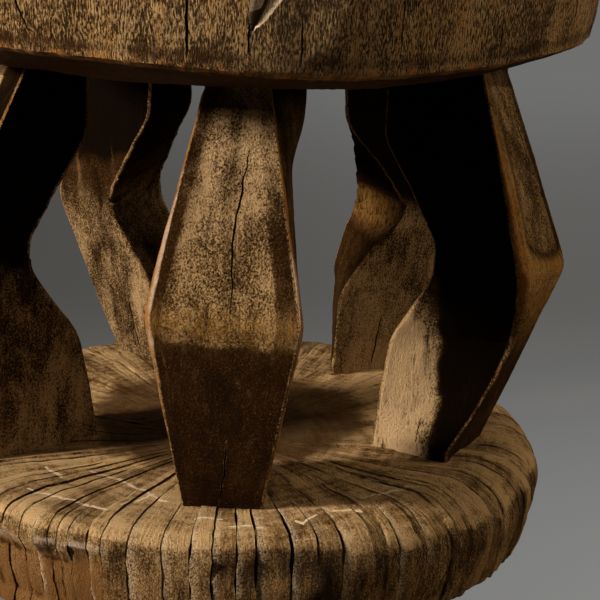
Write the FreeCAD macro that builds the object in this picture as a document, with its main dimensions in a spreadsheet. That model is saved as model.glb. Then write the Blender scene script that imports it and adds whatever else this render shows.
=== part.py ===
import FreeCAD, Part
import os
import Sketcher
from FreeCAD import Vector

# A heavy carved stool: a thick round seat and a thick round base, joined by five
# knee-bent legs. Each leg is a bar cut to a bent side profile, then to a
# six-sided front outline, and its ends are housed in the seat and in the base.
# Z is up, the origin is on the floor under the middle, and the front faces -Y.

SIZES = {
    # Seat disc: flat underside in the middle, bowed up to the lower arris of the rim.
    "seat_radius": 190.0,
    "seat_thickness": 61.0,
    "seat_bow_width": 81.0,
    "seat_arris_inset": 4.0,
    "seat_arris_rise": 18.0,
    "seat_rim_round": 10.0,
    # The top is hollowed a little inside a level rim.
    "seat_rim_width": 16.0,
    "dish_depth": 3.0,
    # Base disc: flat top, broad rounded shoulder, side drawn in a little to the floor.
    "base_thickness": 56.0,
    "base_radius": 175.0,
    "base_shoulder_width": 29.0,
    "base_shoulder_drop": 22.0,
    "base_floor_inset": 6.0,
    "base_floor_round": 5.0,
    # Drying splits in the base's rim: wide at the rim, dying out inwards and to the floor.
    "split_width": 2.0,
    "split_reach": 27.0,
    "split_heel": 24.0,
    # Clear height from the top of the base to the flat underside of the seat.
    "clear_height": 204.0,
    # Outer line of a leg's side profile: set in from the rims, thrown out at the knee.
    "foot_set_in": 40.0,
    "knee_throw": 36.0,
    "knee_height": 104.0,
    # Inner line, from the axis: an upright neck, the bend, and a heel that flares to the sole.
    "top_inner": 77.0,
    "neck_inner": 82.0,
    "neck_drop": 40.0,
    "bend_inner": 120.0,
    "bend_top": 112.0,
    "bend_bottom": 95.0,
    "heel_inner": 97.0,
    "heel_height": 58.0,
    "sole_inner": 90.0,
    # Worn rounding of the knee's ridge, of the flanks at the knee and of the arrises.
    "knee_round": 14.0,
    "flank_round": 60.0,
    "arris_round": 3.0,
    # Wood left beyond the knee on each side of the bar before the flanks are cut.
    "flank_waste": 8.0,
    # Housings: how deep a leg's ends enter, the play on each side of them, and how far
    # the straight ends show, so that a leaning leg's spread clears the mouth.
    "seat_housing": 20.0,
    "base_housing": 16.0,
    "housing_play": 0.2,
    "housing_mouth": 14.0,
    "mouth_run": 3.0,
}

# Each leg was carved by eye, so each has its own place and widths: the way its
# outer face looks, its sideways shift and lean, its width at three levels, and
# how far its top is set in from the seat's rim.
LEGS = {
    "leg_front": {
        "face_angle": -9.0, "shift": 18.5, "lean_angle": 0.8,
        "top_width": 33.0, "knee_width": 68.0, "foot_width": 40.0, "top_set_in": 59.0,
    },
    "leg_right": {
        "face_angle": 60.0, "shift": 20.0, "lean_angle": 7.5,
        "top_width": 38.0, "knee_width": 67.0, "foot_width": 45.0, "top_set_in": 59.0,
    },
    "leg_rear_right": {
        "face_angle": 115.4, "shift": 58.6, "lean_angle": -8.8,
        "top_width": 31.0, "knee_width": 50.0, "foot_width": 36.0, "top_set_in": 59.0,
    },
    "leg_rear_left": {
        "face_angle": -133.0, "shift": -56.6, "lean_angle": 8.4,
        "top_width": 31.0, "knee_width": 45.0, "foot_width": 34.0, "top_set_in": 59.0,
    },
    "leg_left": {
        "face_angle": -59.3, "shift": -12.0, "lean_angle": -7.9,
        "top_width": 40.0, "knee_width": 55.0, "foot_width": 47.0, "top_set_in": 79.0,
    },
}

# The right leg's near flank is pared away below the knee: levels over the base, and
# how deep the paring goes at the outside, counted from the flank.
PARED_LEG = "leg_right"
PARINGS = {
    "paring_1": (1.0, -2.0), "paring_2": (20.0, 30.0), "paring_3": (40.0, 44.0), "paring_4": (60.0, 46.0),
    "paring_5": (80.0, 31.0), "paring_6": (95.0, 13.0), "paring_7": (106.0, -2.0),
}

# Where the main drying splits run out of the base, from the front towards the right.
SPLITS = {
    "split_1": -22.7, "split_2": -16.0, "split_3": -5.8, "split_4": 4.5, "split_5": 10.2,
    "split_6": 18.4, "split_7": 28.6, "split_8": 40.8, "split_9": 55.0, "split_10": 70.0,
    "split_11": 83.0, "split_12": 99.0, "split_13": 112.0, "split_14": 128.0, "split_15": 143.0,
    "split_16": 159.0, "split_17": 172.0, "split_18": -172.0, "split_19": -157.0, "split_20": -144.0,
    "split_21": -128.0, "split_22": -115.0, "split_23": -99.0, "split_24": -86.0, "split_25": -70.0,
    "split_26": -57.0, "split_27": -46.0, "split_28": -32.4,
}

# Distances of a leg's outer line from the upright axis, and the levels of its bare ends.
FOOT_OUTER = "base_radius - foot_set_in"
KNEE_OUTER = FOOT_OUTER + " + knee_throw"
TOP_OUTER = "seat_radius - {leg}_top_set_in"
FOOT_LEVEL = "mouth_run"
TOP_LEVEL = "clear_height - mouth_run"

doc = FreeCAD.newDocument("carved_stool")
sheet = doc.addObject("Spreadsheet::Sheet", "Sizes")


def fill_sheet():
    """Write every driving size into the sheet, one named cell each."""
    values = dict(SIZES)
    for leg, sizes in LEGS.items():
        for size, number in sizes.items():
            values[leg + "_" + size] = number
    for paring, (level, depth) in PARINGS.items():
        values[paring + "_level"] = level
        values[paring + "_depth"] = depth
    for split, number in SPLITS.items():
        values[split + "_angle"] = number
    for row, (alias, number) in enumerate(values.items(), start=1):
        sheet.set(f"A{row}", alias)
        sheet.set(f"B{row}", str(number))
        sheet.setAlias(f"B{row}", alias)
    doc.recompute()


def value(formula):
    return float(sheet.evalExpression(formula))


def bound(formula):
    """The same formula with each size read from the sheet."""
    words = formula.replace("(", "( ").replace(")", " )").split()
    return " ".join("Sizes." + word if word[0].isalpha() else word for word in words)


def body_plane(body, role):
    return next(plane for plane in body.Origin.OriginFeatures if plane.Role == role)


def new_sketch(body, name, role):
    sketch = body.newObject("Sketcher::SketchObject", name)
    sketch.AttachmentSupport = (body_plane(body, role), [""])
    sketch.MapMode = "FlatFace"
    return sketch


def pin_point(sketch, edge, end, place):
    """Hold one point of an edge at a place given by two formulas."""
    for kind, formula in zip(("DistanceX", "DistanceY"), place):
        if formula is None:
            continue
        pin = Sketcher.Constraint(kind, -1, 1, edge, end, value(formula))
        sketch.setExpression(f"Constraints[{sketch.addConstraint(pin)}]", bound(formula))


def draw_outline(sketch, corners, arcs=None):
    """Draw a closed outline through the corners, pairs of formulas from the origin.

    arcs maps the number of a side to its centre and its sense, +1 where the arc runs
    anticlockwise. One coordinate of the centre is given, and the ends settle the other.
    """
    arcs = arcs or {}
    points = [Vector(value(x), value(y), 0) for x, y in corners]
    first = sketch.GeometryCount
    for side, start in enumerate(points):
        end = points[(side + 1) % len(points)]
        if side in arcs:
            sketch.addGeometry(bowed_side(start, end, *arcs[side]))
        else:
            sketch.addGeometry(Part.LineSegment(start, end))
    for side, corner in enumerate(corners):
        ends = side_ends(arcs, side)
        after = (side + 1) % len(corners)
        next_ends = side_ends(arcs, after)
        joint = (first + side, ends[1], first + after, next_ends[0])
        sketch.addConstraint(Sketcher.Constraint("Coincident", *joint))
        pin_point(sketch, first + side, ends[0], corner)
    for side, (centre, sense) in arcs.items():
        pin_point(sketch, first + side, 3, centre)


def side_ends(arcs, side):
    """Point numbers of a side's first and last end, swapped on a clockwise arc."""
    if side in arcs and arcs[side][1] < 0:
        return 2, 1
    return 1, 2


def bowed_side(start, end, centre, sense):
    """An arc from start to end whose centre has one coordinate given."""
    x, y = (None if formula is None else value(formula) for formula in centre)
    middle = (start + end) * 0.5
    chord = end - start
    if x is None:
        x = middle.x - chord.y / chord.x * (y - middle.y)
    if y is None:
        y = middle.y - chord.x / chord.y * (x - middle.x)
    hub = Vector(x, y, 0)
    first, last = (start, end) if sense > 0 else (end, start)
    circle = Part.Circle(hub, Vector(0, 0, 1), (start - hub).Length)
    return Part.ArcOfCircle(circle, circle.parameter(first), circle.parameter(last))


def revolve(name, corners, arcs):
    """A disc turned from half of its section about the upright axis."""
    body = doc.addObject("PartDesign::Body", name)
    sketch = new_sketch(body, name + "_section", "XZ_Plane")
    draw_outline(sketch, corners, arcs)
    turned = body.newObject("PartDesign::Revolution", name + "_turned")
    turned.Profile = sketch
    turned.ReferenceAxis = (sketch, ["V_Axis"])
    doc.recompute()
    return body


def make_seat_blank():
    """Seat disc with its underside at zero: bowed below, rounded rim, hollowed top."""
    corners = [
        ("0", "0"),
        ("seat_radius - seat_bow_width", "0"),
        ("seat_radius - seat_arris_inset", "seat_arris_rise"),
        ("seat_radius", "seat_thickness - seat_rim_round"),
        ("seat_radius - seat_rim_round", "seat_thickness"),
        ("seat_radius - seat_rim_round - seat_rim_width", "seat_thickness"),
        ("0", "seat_thickness - dish_depth"),
    ]
    arcs = {
        1: (("seat_radius - seat_bow_width", None), 1),
        2: ((None, "seat_thickness - seat_rim_round"), 1),
        3: (("seat_radius - seat_rim_round", None), 1),
        5: (("0", None), -1),
    }
    return revolve("seat_blank", corners, arcs)


def make_base_blank():
    """Base disc with its foot at zero and a broad rounded shoulder."""
    corners = [
        ("0", "0"),
        ("base_radius - base_floor_inset - base_floor_round", "0"),
        ("base_radius - base_floor_inset", "base_floor_round"),
        ("base_radius", "base_thickness - base_shoulder_drop"),
        ("base_radius - base_shoulder_width", "base_thickness"),
        ("0", "base_thickness"),
    ]
    arcs = {
        1: (("base_radius - base_floor_inset - base_floor_round", None), 1),
        2: ((None, "base_thickness - base_shoulder_drop"), 1),
        3: (("base_radius - base_shoulder_width", None), 1),
    }
    return revolve("base_blank", corners, arcs)


def leg_place(leg):
    """Placement formula of a leg: turned to its face, shifted sideways, then leaned."""
    turn = f"rotation(vector(0; 0; 1); Sizes.{leg}_face_angle - 90)"
    lean = f"rotation(vector(1; 0; 0); -Sizes.{leg}_lean_angle)"
    stand = f"placement(vector(0; 0; Sizes.base_thickness); {turn})"
    return f"{stand} * placement(vector(0; Sizes.{leg}_shift; 0); {lean})"


def edges_where(body, test):
    """Names of the edges of a body whose middle point and direction pass a test."""
    names = []
    for number, edge in enumerate(body.Shape.Edges, start=1):
        halfway = (edge.FirstParameter + edge.LastParameter) / 2
        direction = edge.tangentAt(halfway)
        if test(edge.valueAt(halfway), direction):
            names.append(f"Edge{number}")
    return names


def round_edges(body, name, radius, test):
    """Round the edges that pass the test, and stop if there are none."""
    names = edges_where(body, test)
    if not names:
        raise RuntimeError("no edges to round for " + name)
    carved = body.Tip
    rounding = body.newObject("PartDesign::Fillet", name)
    rounding.Base = (carved, names)
    rounding.setExpression("Radius", "Sizes." + radius)
    body.Tip = rounding
    doc.recompute()


def cut_side_profile(body, leg):
    """Cut the bent side profile through a bar wider than the knee."""
    profile = new_sketch(body, leg + "_profile", "XZ_Plane")
    draw_outline(profile, [
        ("sole_inner", FOOT_LEVEL),
        (FOOT_OUTER, FOOT_LEVEL),
        (KNEE_OUTER, "knee_height"),
        (TOP_OUTER.format(leg=leg), TOP_LEVEL),
        ("top_inner", TOP_LEVEL),
        ("neck_inner", "clear_height - neck_drop"),
        ("bend_inner", "bend_top"),
        ("bend_inner", "bend_bottom"),
        ("heel_inner", "heel_height"),
    ])
    bar = body.newObject("PartDesign::Pad", leg + "_bar")
    bar.Profile = profile
    bar.SideType = "Symmetric"
    bar.setExpression("Length", bound(f"{leg}_knee_width + 2 * flank_waste"))
    doc.recompute()


def cut_flanks(body, leg):
    """Cut both flanks to the six-sided front outline, widest at the knee."""
    outline = new_sketch(body, leg + "_flanks", "YZ_Plane")
    waste = f"{leg}_knee_width / 2 + 2 * flank_waste"
    for side in ("", "-"):
        draw_outline(outline, [
            (f"{side} {leg}_foot_width / 2", FOOT_LEVEL),
            (f"{side} ( {waste} )", FOOT_LEVEL),
            (f"{side} ( {waste} )", TOP_LEVEL),
            (f"{side} {leg}_top_width / 2", TOP_LEVEL),
            (f"{side} {leg}_knee_width / 2", "knee_height"),
        ])
    before = body.Shape.Volume
    cut = body.newObject("PartDesign::Pocket", leg + "_flank_cut")
    cut.Profile = outline
    cut.Type = "ThroughAll"
    cut.SideType = "Symmetric"
    body.Tip = cut
    doc.recompute()
    if body.Shape.Volume >= before:
        raise RuntimeError("the flanks were not cut on " + leg)


def add_housed_end(body, leg, end, inner, outer, level, depth, upward):
    """Carry an end of the leg on, at its full section, into its housing."""
    sketch = new_sketch(body, f"{leg}_{end}_section", "XY_Plane")
    sketch.setExpression("AttachmentOffset.Base.z", bound(level))
    half = f"{leg}_{end}_width / 2"
    draw_outline(sketch, [
        (inner, "- " + half),
        (outer, "- " + half),
        (outer, half),
        (inner, half),
    ])
    stub = body.newObject("PartDesign::Pad", f"{leg}_{end}_end")
    stub.Profile = sketch
    stub.Reversed = not upward
    stub.setExpression("Length", bound(depth + " + mouth_run"))
    body.Tip = stub
    doc.recompute()


def pare_flank(body, leg):
    """Pare one flank away slantwise below the knee, deepest at the outside."""
    sections = []
    outside = KNEE_OUTER + " + flank_waste"
    waste = f"- {leg}_knee_width / 2 - flank_waste"
    for paring in PARINGS:
        level = paring + "_level"
        flank = f"- {leg}_foot_width / 2 - ( {leg}_knee_width - {leg}_foot_width ) * {level} / knee_height / 2"
        section = new_sketch(body, f"{leg}_{paring}", "XY_Plane")
        section.setExpression("AttachmentOffset.Base.z", bound(level))
        draw_outline(section, [
            ("heel_inner", waste),
            (outside, waste),
            (outside, f"{flank} + {paring}_depth"),
            ("heel_inner", f"{flank} - flank_waste / 16"),
        ])
        sections.append(section)
    before = body.Shape.Volume
    paring = body.newObject("PartDesign::SubtractiveLoft", leg + "_paring")
    paring.Profile = sections[0]
    paring.Sections = sections[1:]
    paring.Ruled = True
    body.Tip = paring
    doc.recompute()
    if body.Shape.Volume >= before:
        raise RuntimeError("the flank was not pared on " + leg)


def make_leg(leg):
    """One knee-bent leg, standing on the base and reaching into the seat."""
    body = doc.addObject("PartDesign::Body", leg)
    cut_side_profile(body, leg)
    knee_outer = value(KNEE_OUTER)
    knee_height = value("knee_height")
    near = value("flank_waste") / 4
    half_knee = value(f"{leg}_knee_width") / 2

    def on_knee(point, direction):
        return abs(point.x - knee_outer) < near and abs(point.z - knee_height) < near

    def on_flank_bend(point, direction):
        return abs(abs(point.y) - half_knee) < near and abs(direction.x) > 0.9

    def on_outer_arris(point, direction):
        outside = point.x > value(FOOT_OUTER) and point.x > value(TOP_OUTER.format(leg=leg))
        return outside and abs(direction.z) > 0.5

    round_edges(body, leg + "_knee_ridge", "knee_round", on_knee)
    cut_flanks(body, leg)
    round_edges(body, leg + "_flank_bends", "flank_round", on_flank_bend)
    round_edges(body, leg + "_arrises", "arris_round", on_outer_arris)
    if leg == PARED_LEG:
        pare_flank(body, leg)
    add_housed_end(body, leg, "foot", "sole_inner", FOOT_OUTER, FOOT_LEVEL, "base_housing", False)
    add_housed_end(body, leg, "top", "top_inner", TOP_OUTER.format(leg=leg), TOP_LEVEL, "seat_housing", True)
    body.setExpression("Placement", leg_place(leg))
    doc.recompute()
    return body


def make_housing(leg, end, inner, outer, low, length):
    """The space that one end of a leg takes up in a disc, with its play."""
    block = doc.addObject("Part::Box", f"{leg}_{end}_housing")
    block.setExpression("Length", bound(f"{outer} - {inner} + 2 * housing_play"))
    block.setExpression("Width", bound(f"{leg}_{end}_width + 2 * housing_play"))
    block.setExpression("Height", bound(length))
    corner_x = bound(f"{inner} - housing_play")
    corner_y = bound(f"- {leg}_{end}_width / 2 - housing_play")
    corner = f"placement(vector({corner_x}; {corner_y}; {bound(low)}); rotation(vector(0; 0; 1); 0))"
    block.setExpression("Placement", f"{leg_place(leg)} * {corner}")
    return block


def make_split(split):
    """The wedge of one drying split: open at the rim, an edge where it ends inwards."""
    wedge = doc.addObject("Part::Wedge", split)
    beyond = "base_shoulder_drop / 8"
    height = f"base_thickness + {beyond}"
    limits = {
        "Xmin": "- split_width / 2", "Xmax": "split_width / 2", "X2min": "0", "X2max": "0",
        "Ymin": "0", "Ymax": f"split_reach + {beyond}",
        "Zmin": "0", "Zmax": height, "Z2min": "split_heel", "Z2max": height,
    }
    for limit, formula in limits.items():
        wedge.setExpression(limit, bound(formula))
    turn = f"placement(vector(0; 0; 0); rotation(vector(0; 0; 1); Sizes.{split}_angle))"
    rim = bound(f"- base_radius - {beyond}")
    wedge.setExpression("Placement", f"{turn} * placement(vector(0; {rim}; 0); rotation(vector(0; 0; 1); 0))")
    return wedge


def cut_housings(name, blank, blocks):
    """A finished disc: its blank less the housings and whatever else is cut out of it."""
    tools = doc.addObject("Part::MultiFuse", name + "_housings")
    tools.Shapes = blocks
    disc = doc.addObject("Part::Cut", name)
    disc.Base = blank
    disc.Tool = tools
    doc.recompute()
    if disc.Shape.Volume >= blank.Shape.Volume:
        raise RuntimeError("no housing was cut in the " + name)
    return disc


def check_document(pieces):
    """Stop before anything is written if a feature failed or a piece isn't one solid."""
    for item in doc.Objects:
        if "Invalid" in item.State or "Error" in item.State:
            raise RuntimeError(f"{item.Label} failed: {item.State}")
    for piece in pieces:
        shape = piece.Shape
        if shape.isNull() or not shape.isValid() or len(shape.Solids) != 1:
            raise RuntimeError(piece.Label + " is not one valid solid")


def main():
    fill_sheet()
    seat_blank = make_seat_blank()
    seat_blank.setExpression("Placement.Base.z", bound("base_thickness + clear_height"))
    base_blank = make_base_blank()
    legs = [make_leg(leg) for leg in LEGS]
    seat_blocks = [
        make_housing(leg, "top", "top_inner", TOP_OUTER.format(leg=leg), "clear_height - housing_mouth",
                     "seat_housing + housing_mouth")
        for leg in LEGS
    ]
    base_blocks = [
        make_housing(leg, "foot", "sole_inner", FOOT_OUTER, "- base_housing",
                     "base_housing + housing_mouth")
        for leg in LEGS
    ]
    seat = cut_housings("seat", seat_blank, seat_blocks)
    splits = [make_split(split) for split in SPLITS]
    base = cut_housings("base", base_blank, base_blocks + splits)
    pieces = [seat, base] + legs
    check_document(pieces)
    os.makedirs("parts", exist_ok=True)
    for piece in pieces:
        solid = piece.Shape.Solids[0]
        solid.exportStep(os.path.join("parts", piece.Label + ".step"))
        print(piece.Label, round(solid.Volume / 1000, 1), "cm3", solid.BoundBox)


main()
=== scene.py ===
import math
import random

import bmesh
import bpy
import numpy as np
from bpy.props import (CollectionProperty, FloatProperty, FloatVectorProperty, IntProperty,
                       PointerProperty, StringProperty)
from mathutils import Matrix, Vector, noise


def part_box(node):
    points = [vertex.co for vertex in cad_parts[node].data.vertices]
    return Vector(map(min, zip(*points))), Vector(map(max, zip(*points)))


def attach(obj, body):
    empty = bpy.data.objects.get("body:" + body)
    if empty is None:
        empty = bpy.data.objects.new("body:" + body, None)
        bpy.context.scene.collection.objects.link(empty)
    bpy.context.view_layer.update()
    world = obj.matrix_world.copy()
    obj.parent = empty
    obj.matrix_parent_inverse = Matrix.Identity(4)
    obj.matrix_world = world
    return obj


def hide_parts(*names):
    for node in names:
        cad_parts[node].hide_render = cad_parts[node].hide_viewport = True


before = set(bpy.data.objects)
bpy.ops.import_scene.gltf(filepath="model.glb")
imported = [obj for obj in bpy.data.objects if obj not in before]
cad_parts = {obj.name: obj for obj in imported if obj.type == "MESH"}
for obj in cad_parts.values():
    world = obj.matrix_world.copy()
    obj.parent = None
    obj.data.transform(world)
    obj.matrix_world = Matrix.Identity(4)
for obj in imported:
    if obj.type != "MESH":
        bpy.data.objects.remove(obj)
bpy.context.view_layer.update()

bl_info = {
    "name": "Carved Stool",
    "version": (1, 0, 0),
    "blender": (4, 5, 0),
    "location": "View3D > Sidebar > Stool",
    "description": "Carves the round seat, the round base and the knee-bent legs of a wooden stool",
    "category": "Object",
}

MM = 0.001
SEAT_LOW, SEAT_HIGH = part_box("seat")
BASE_LOW, BASE_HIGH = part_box("base")
BODY = "root"


# Settings

def length(name, description, default):
    """A length that shows in the sidebar."""
    return FloatProperty(name=name, description=description, default=default, unit="LENGTH", precision=4)


def angle(name, description, default=0.0):
    """An angle that shows in the sidebar, kept in radians."""
    return FloatProperty(name=name, description=description, default=math.radians(default),
                         subtype="ANGLE")


def colour(name, description, default):
    """A linear colour that shows in the sidebar."""
    return FloatVectorProperty(name=name, description=description, default=default,
                               subtype="COLOR", size=3, min=0.0, max=1.0)


class StoolSeat(bpy.types.PropertyGroup):
    """Seat disc: a flat underside, a bowed edge below, a blunt rim and a hollowed top."""

    radius: length("Radius", "Radius of the rim", (SEAT_HIGH.x - SEAT_LOW.x) / 2)
    low: length("Underside", "Level of the flat underside", SEAT_LOW.z)
    high: length("Top", "Level of the rim's top", SEAT_HIGH.z)
    bow_width: length("Bow width", "From the rim to the flat underside", 0.081)
    arris_inset: length("Arris inset", "How far the lower arris lies inside the rim", 0.004)
    arris_rise: length("Arris rise", "Level of the lower arris over the underside", 0.018)
    rim_round: length("Rim rounding", "Rounding at the top of the rim", 0.010)
    rim_width: length("Rim width", "Level rim around the hollow", 0.016)
    dish_depth: length("Hollow", "Depth of the hollow in the top", 0.003)
    arris_wave: length("Arris wave", "How far the lower arris wanders up and down", 0.0022)


class StoolBase(bpy.types.PropertyGroup):
    """Base disc: a flat top and a broad rounded shoulder, cracked from its pith outwards."""

    radius: length("Radius", "Largest radius", (BASE_HIGH.x - BASE_LOW.x) / 2)
    high: length("Top", "Level of the top", BASE_HIGH.z)
    shoulder_width: length("Shoulder width", "Width of the rounded shoulder", 0.029)
    shoulder_drop: length("Shoulder drop", "Height of the rounded shoulder", 0.022)
    floor_inset: length("Floor inset", "How far the side draws in at the floor", 0.006)
    floor_round: length("Floor rounding", "Rounding at the floor", 0.005)
    pith: length("Pith", "How far the pith lies in front of the middle", 0.038)
    strip: length("Strip", "Usual width of the wood between two cracks", 0.0072)
    heave: length("Heave", "How far the strips have lifted or sunk", 0.0004)
    tilt: length("Tilt", "How far one edge of a strip stands over the other", 0.0006)
    squareness: FloatProperty(name="Squareness", description="Smaller for a squarer shoulder in front",
                              default=0.42)
    broken: length("Broken edge", "How far the side is broken away at the left front", 0.0045)


class StoolLeg(bpy.types.PropertyGroup):
    """One leg's place and widths."""

    name: StringProperty(name="Leg", description="Name of the leg")
    face: angle("Face", "Way the outer face looks, from the front towards the right")
    shift: length("Shift", "Sideways shift of the foot", 0.0)
    lean: angle("Lean", "Sideways lean")
    top_width: length("Top width", "Width under the seat", 0.035)
    knee_width: length("Knee width", "Width at the knee", 0.067)
    foot_width: length("Foot width", "Width at the foot", 0.040)
    near_arris: length("Left arris", "Width of the left outer arris at the knee", 0.0028)
    far_arris: length("Right arris", "Width of the right outer arris at the knee", 0.0028)
    chop: length("Chops", "Depth of the chop marks left in the inner bend", 0.0026)
    top_outer: length("Top, outside", "Outer edge under the seat", 0.131)
    flare: length("Flare", "How far the back of the right flank stands out under the seat", 0.0)
    back_narrow: length("Narrow back", "How far the back of the right flank draws in below the neck", 0.0)
    # The flanks are painted black from this height up: partly smoke-black wood, partly painted shade of the
    # seat and the other legs.
    soot: length("Soot line", "Height over the base from which the flanks are black", 0.100)
    # Below that height the flanks are darkened by this share: partly patina, partly painted shade.
    dark: FloatProperty(name="Dark", description="How dark the flanks are below the soot", default=0.8)
    bare: FloatProperty(name="Bare", description="How bare the flanks are at the foot", default=0.5)
    knee_swell: length("Knee swell", "How far the far side of the knee stands out further", 0.0)
    twist: length("Twist", "How far the foot's left corner stands forward of its right one", 0.0)


class StoolLegs(bpy.types.PropertyGroup):
    """Side profile that all the legs share, as distances from the axis and heights over the base."""

    clear_height: length("Clear height", "From the base's top to the seat's underside",
                         SEAT_LOW.z - BASE_HIGH.z)
    foot_outer: length("Foot, outside", "Outer edge of the foot", 0.135)
    foot_inner: length("Foot, inside", "Inner edge of the foot", 0.090)
    heel_inner: length("Heel, inside", "Inner edge over the heel", 0.097)
    heel_height: length("Heel height", "Height of the heel", 0.058)
    bend_inner: length("Bend, inside", "Inner edge at the bend", 0.120)
    bend_bottom: length("Bend bottom", "Lower end of the bend", 0.095)
    bend_top: length("Bend top", "Upper end of the bend", 0.112)
    knee_outer: length("Knee, outside", "Outer edge at the knee", 0.171)
    knee_height: length("Knee height", "Height of the knee", 0.104)
    neck_inner: length("Neck, inside", "Inner edge at the foot of the neck", 0.082)
    neck_height: length("Neck height", "Height of the foot of the neck", 0.164)
    top_inner: length("Top, inside", "Inner edge under the seat", 0.077)
    foot_depth: length("Foot depth", "How far the foot enters the base", 0.016)
    top_depth: length("Top depth", "How far the top enters the seat", 0.020)
    knee_soft: length("Knee softness", "How far the knee's ridge is worn down", 0.0013)
    thin_arris: length("Thin arris", "Width of the outer arrises at the ends", 0.0011)
    inner_arris: length("Inner arris", "Width of the inner arrises", 0.0018)


class StoolFinish(bpy.types.PropertyGroup):
    """Colours of the old wood."""

    shade: colour("Shade", "Dark fibres and pits", (0.026, 0.0125, 0.0044))
    heart: colour("Heart", "Brown wood", (0.165, 0.087, 0.030))
    tan: colour("Tan", "Pale fibres", (0.480, 0.300, 0.138))
    worn: colour("Worn", "Rubbed arrises", (0.400, 0.155, 0.032))
    # Painted on the rubbed arrises and along the base's broken edge: partly rubbed wood, partly a painted
    # highlight.
    polish_and_highlight: colour("Polish", "Arrises rubbed to a shine", (0.600, 0.440, 0.320))
    bare: colour("Bare", "Bare wood at the heels and inside the legs", (0.600, 0.385, 0.195))
    rust: colour("Broken wood", "Rough wood where the edge broke away", (0.200, 0.088, 0.026))
    stain: colour("Stain", "Blackened patina", (0.034, 0.0112, 0.0016))
    # Near black: painted on the upper flanks as smoke-black wood and as painted shade of the seat and the
    # other legs, and mottled into the dark patina.
    soot: colour("Soot", "Blackened upper flanks", (0.0030, 0.0014, 0.0006))
    gold: colour("Gold", "Rubbed golden wood beside the arrises", (0.430, 0.205, 0.048))
    # Also painted on the right lips of the base's cracks, as a highlight where the light from the left meets
    # them.
    score: colour("Score", "Fresh scratches", (0.700, 0.520, 0.330))


class StoolSettings(bpy.types.PropertyGroup):
    """All the settings of the stool."""

    seat: PointerProperty(type=StoolSeat, name="Seat", description="Sizes of the seat")
    base: PointerProperty(type=StoolBase, name="Base", description="Sizes of the base")
    legs: PointerProperty(type=StoolLegs, name="Legs", description="Side profile of the legs")
    leg: CollectionProperty(type=StoolLeg, name="Leg", description="Place and widths of each leg")
    finish: PointerProperty(type=StoolFinish, name="Finish", description="Colours of the wood")
    seed: IntProperty(name="Seed", description="Choice of the cracks that are set at random", default=11)


# Place and widths of each leg: face and lean in degrees, dark and bare as shares, the rest in millimetres
LEGS = {
    "leg_front": dict(face=-9, shift=18.3, lean=1.0, top_width=31.5, knee_width=69, foot_width=39.5,
                      near_arris=4.0, far_arris=1.6, flare=9, back_narrow=6, knee_swell=5.5, twist=2.2,
                      chop=0, soot=190, dark=0.75, bare=0.1),
    "leg_right": dict(face=60, shift=20, lean=7.5, top_width=38, knee_width=67, foot_width=45,
                      near_arris=4.5, far_arris=2.5, chop=0.8, soot=90, dark=1.1, bare=0.9),
    "leg_rear_right": dict(face=115.4, shift=57.5, lean=-9.2, top_width=29, knee_width=46, foot_width=32,
                           soot=108, dark=0.22, bare=0.35),
    "leg_rear_left": dict(face=-133, shift=-56.6, lean=8.4, top_width=31, knee_width=45, foot_width=34,
                          chop=2.4, soot=138, dark=0.35, bare=0.35),
    "leg_left": dict(face=-59.3, shift=-12, lean=-7.9, top_width=40, knee_width=55, foot_width=47,
                     top_outer=111, far_arris=3.2, chop=1.4, soot=95, dark=0.5, bare=0.35),
}
LEG_ANGLES = ("face", "lean")
LEG_SHARES = ("dark", "bare")

# Below its knee the right leg's near flank is pared slantwise: level, and depth of the paring at the
# outer arris
PARINGS = [(3, 0), (20, 16.6), (40, 28), (60, 33.5), (80, 24.7), (95, 11.5), (104, 0)]

# The rear right leg's inner bend is cut askew: level, and how far its near and far inner arrises lie
# further out
ASKEW = [(0, -2, 16), (17, -4, 12), (35, -7, 9), (52, -10, 7), (71, -12, -1), (86, -11.5, -7), (98, -6, -8),
         (114, 3, -7), (139, 2, 5), (170, -4, 14), (204, -4, 15)]

# The left leg's near flank stands askew at the foot: level, how far its inner arris lies further out
# and to the near side, and the same for its outer arris
SPLAYED = [(0, -9, -16, 15, -8), (30, -7, -11, 11, -5), (60, -3, -4, 5, -2), (90, 0, 0, 0, 0)]

# Cracks of the base that the front shows: place on the rim in degrees, reach from the rim
# towards the pith, level of the lower end, width and depth in millimetres
BASE_CRACKS = [
    (-32.4, 98, 12, 0.6, 3), (-22.7, 56, 2, 1.0, 8), (-16.0, 54, 2, 0.9, 8), (-10.4, 44, 22, 0.4, 2),
    (-5.8, 44, 4, 0.7, 6), (-2.4, 46, 16, 0.5, 3), (1.4, 46, 22, 0.5, 3), (4.5, 44, 8, 0.8, 6),
    (10.2, 54, 4, 0.9, 8), (14.2, 52, 28, 0.4, 2), (18.4, 46, 2, 1.3, 11), (23.6, 62, 30, 0.5, 2),
    (28.6, 50, 12, 0.8, 7), (34.0, 52, 30, 0.4, 2), (40.8, 60, 6, 1.1, 10),
]
REAR_CRACKS = (55, 70, 83, 99, 112, 128, 143, 159, 172, -172, -157, -144, -128, -115, -99, -86, -70, -57, -46)

# Pale scores across the top of the base: degrees from the front and distance from the axis in millimetres
SCORES = [
    [(12.2, 154), (13.1, 158), (16.2, 152)], [(0.3, 159), (3.1, 157), (5.8, 159)],
    [(28.2, 140), (42.4, 143)], [(36.9, 119), (38.0, 141)], [(-38.0, 115), (-24.9, 119), (-13.4, 135)],
    [(-40.4, 154), (-29.7, 152), (-22.9, 154)], [(-17.0, 128), (-21.0, 146)], [(-6.0, 152), (-1.5, 150)],
    [(20.0, 150), (25.0, 153)], [(-48.0, 128), (-41.0, 131)],
]
SCORE_WIDTH = 0.0013

# Tint of the light that the wood throws back
WARM_SHEEN = (1.0, 0.65, 0.38, 1.0)

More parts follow.
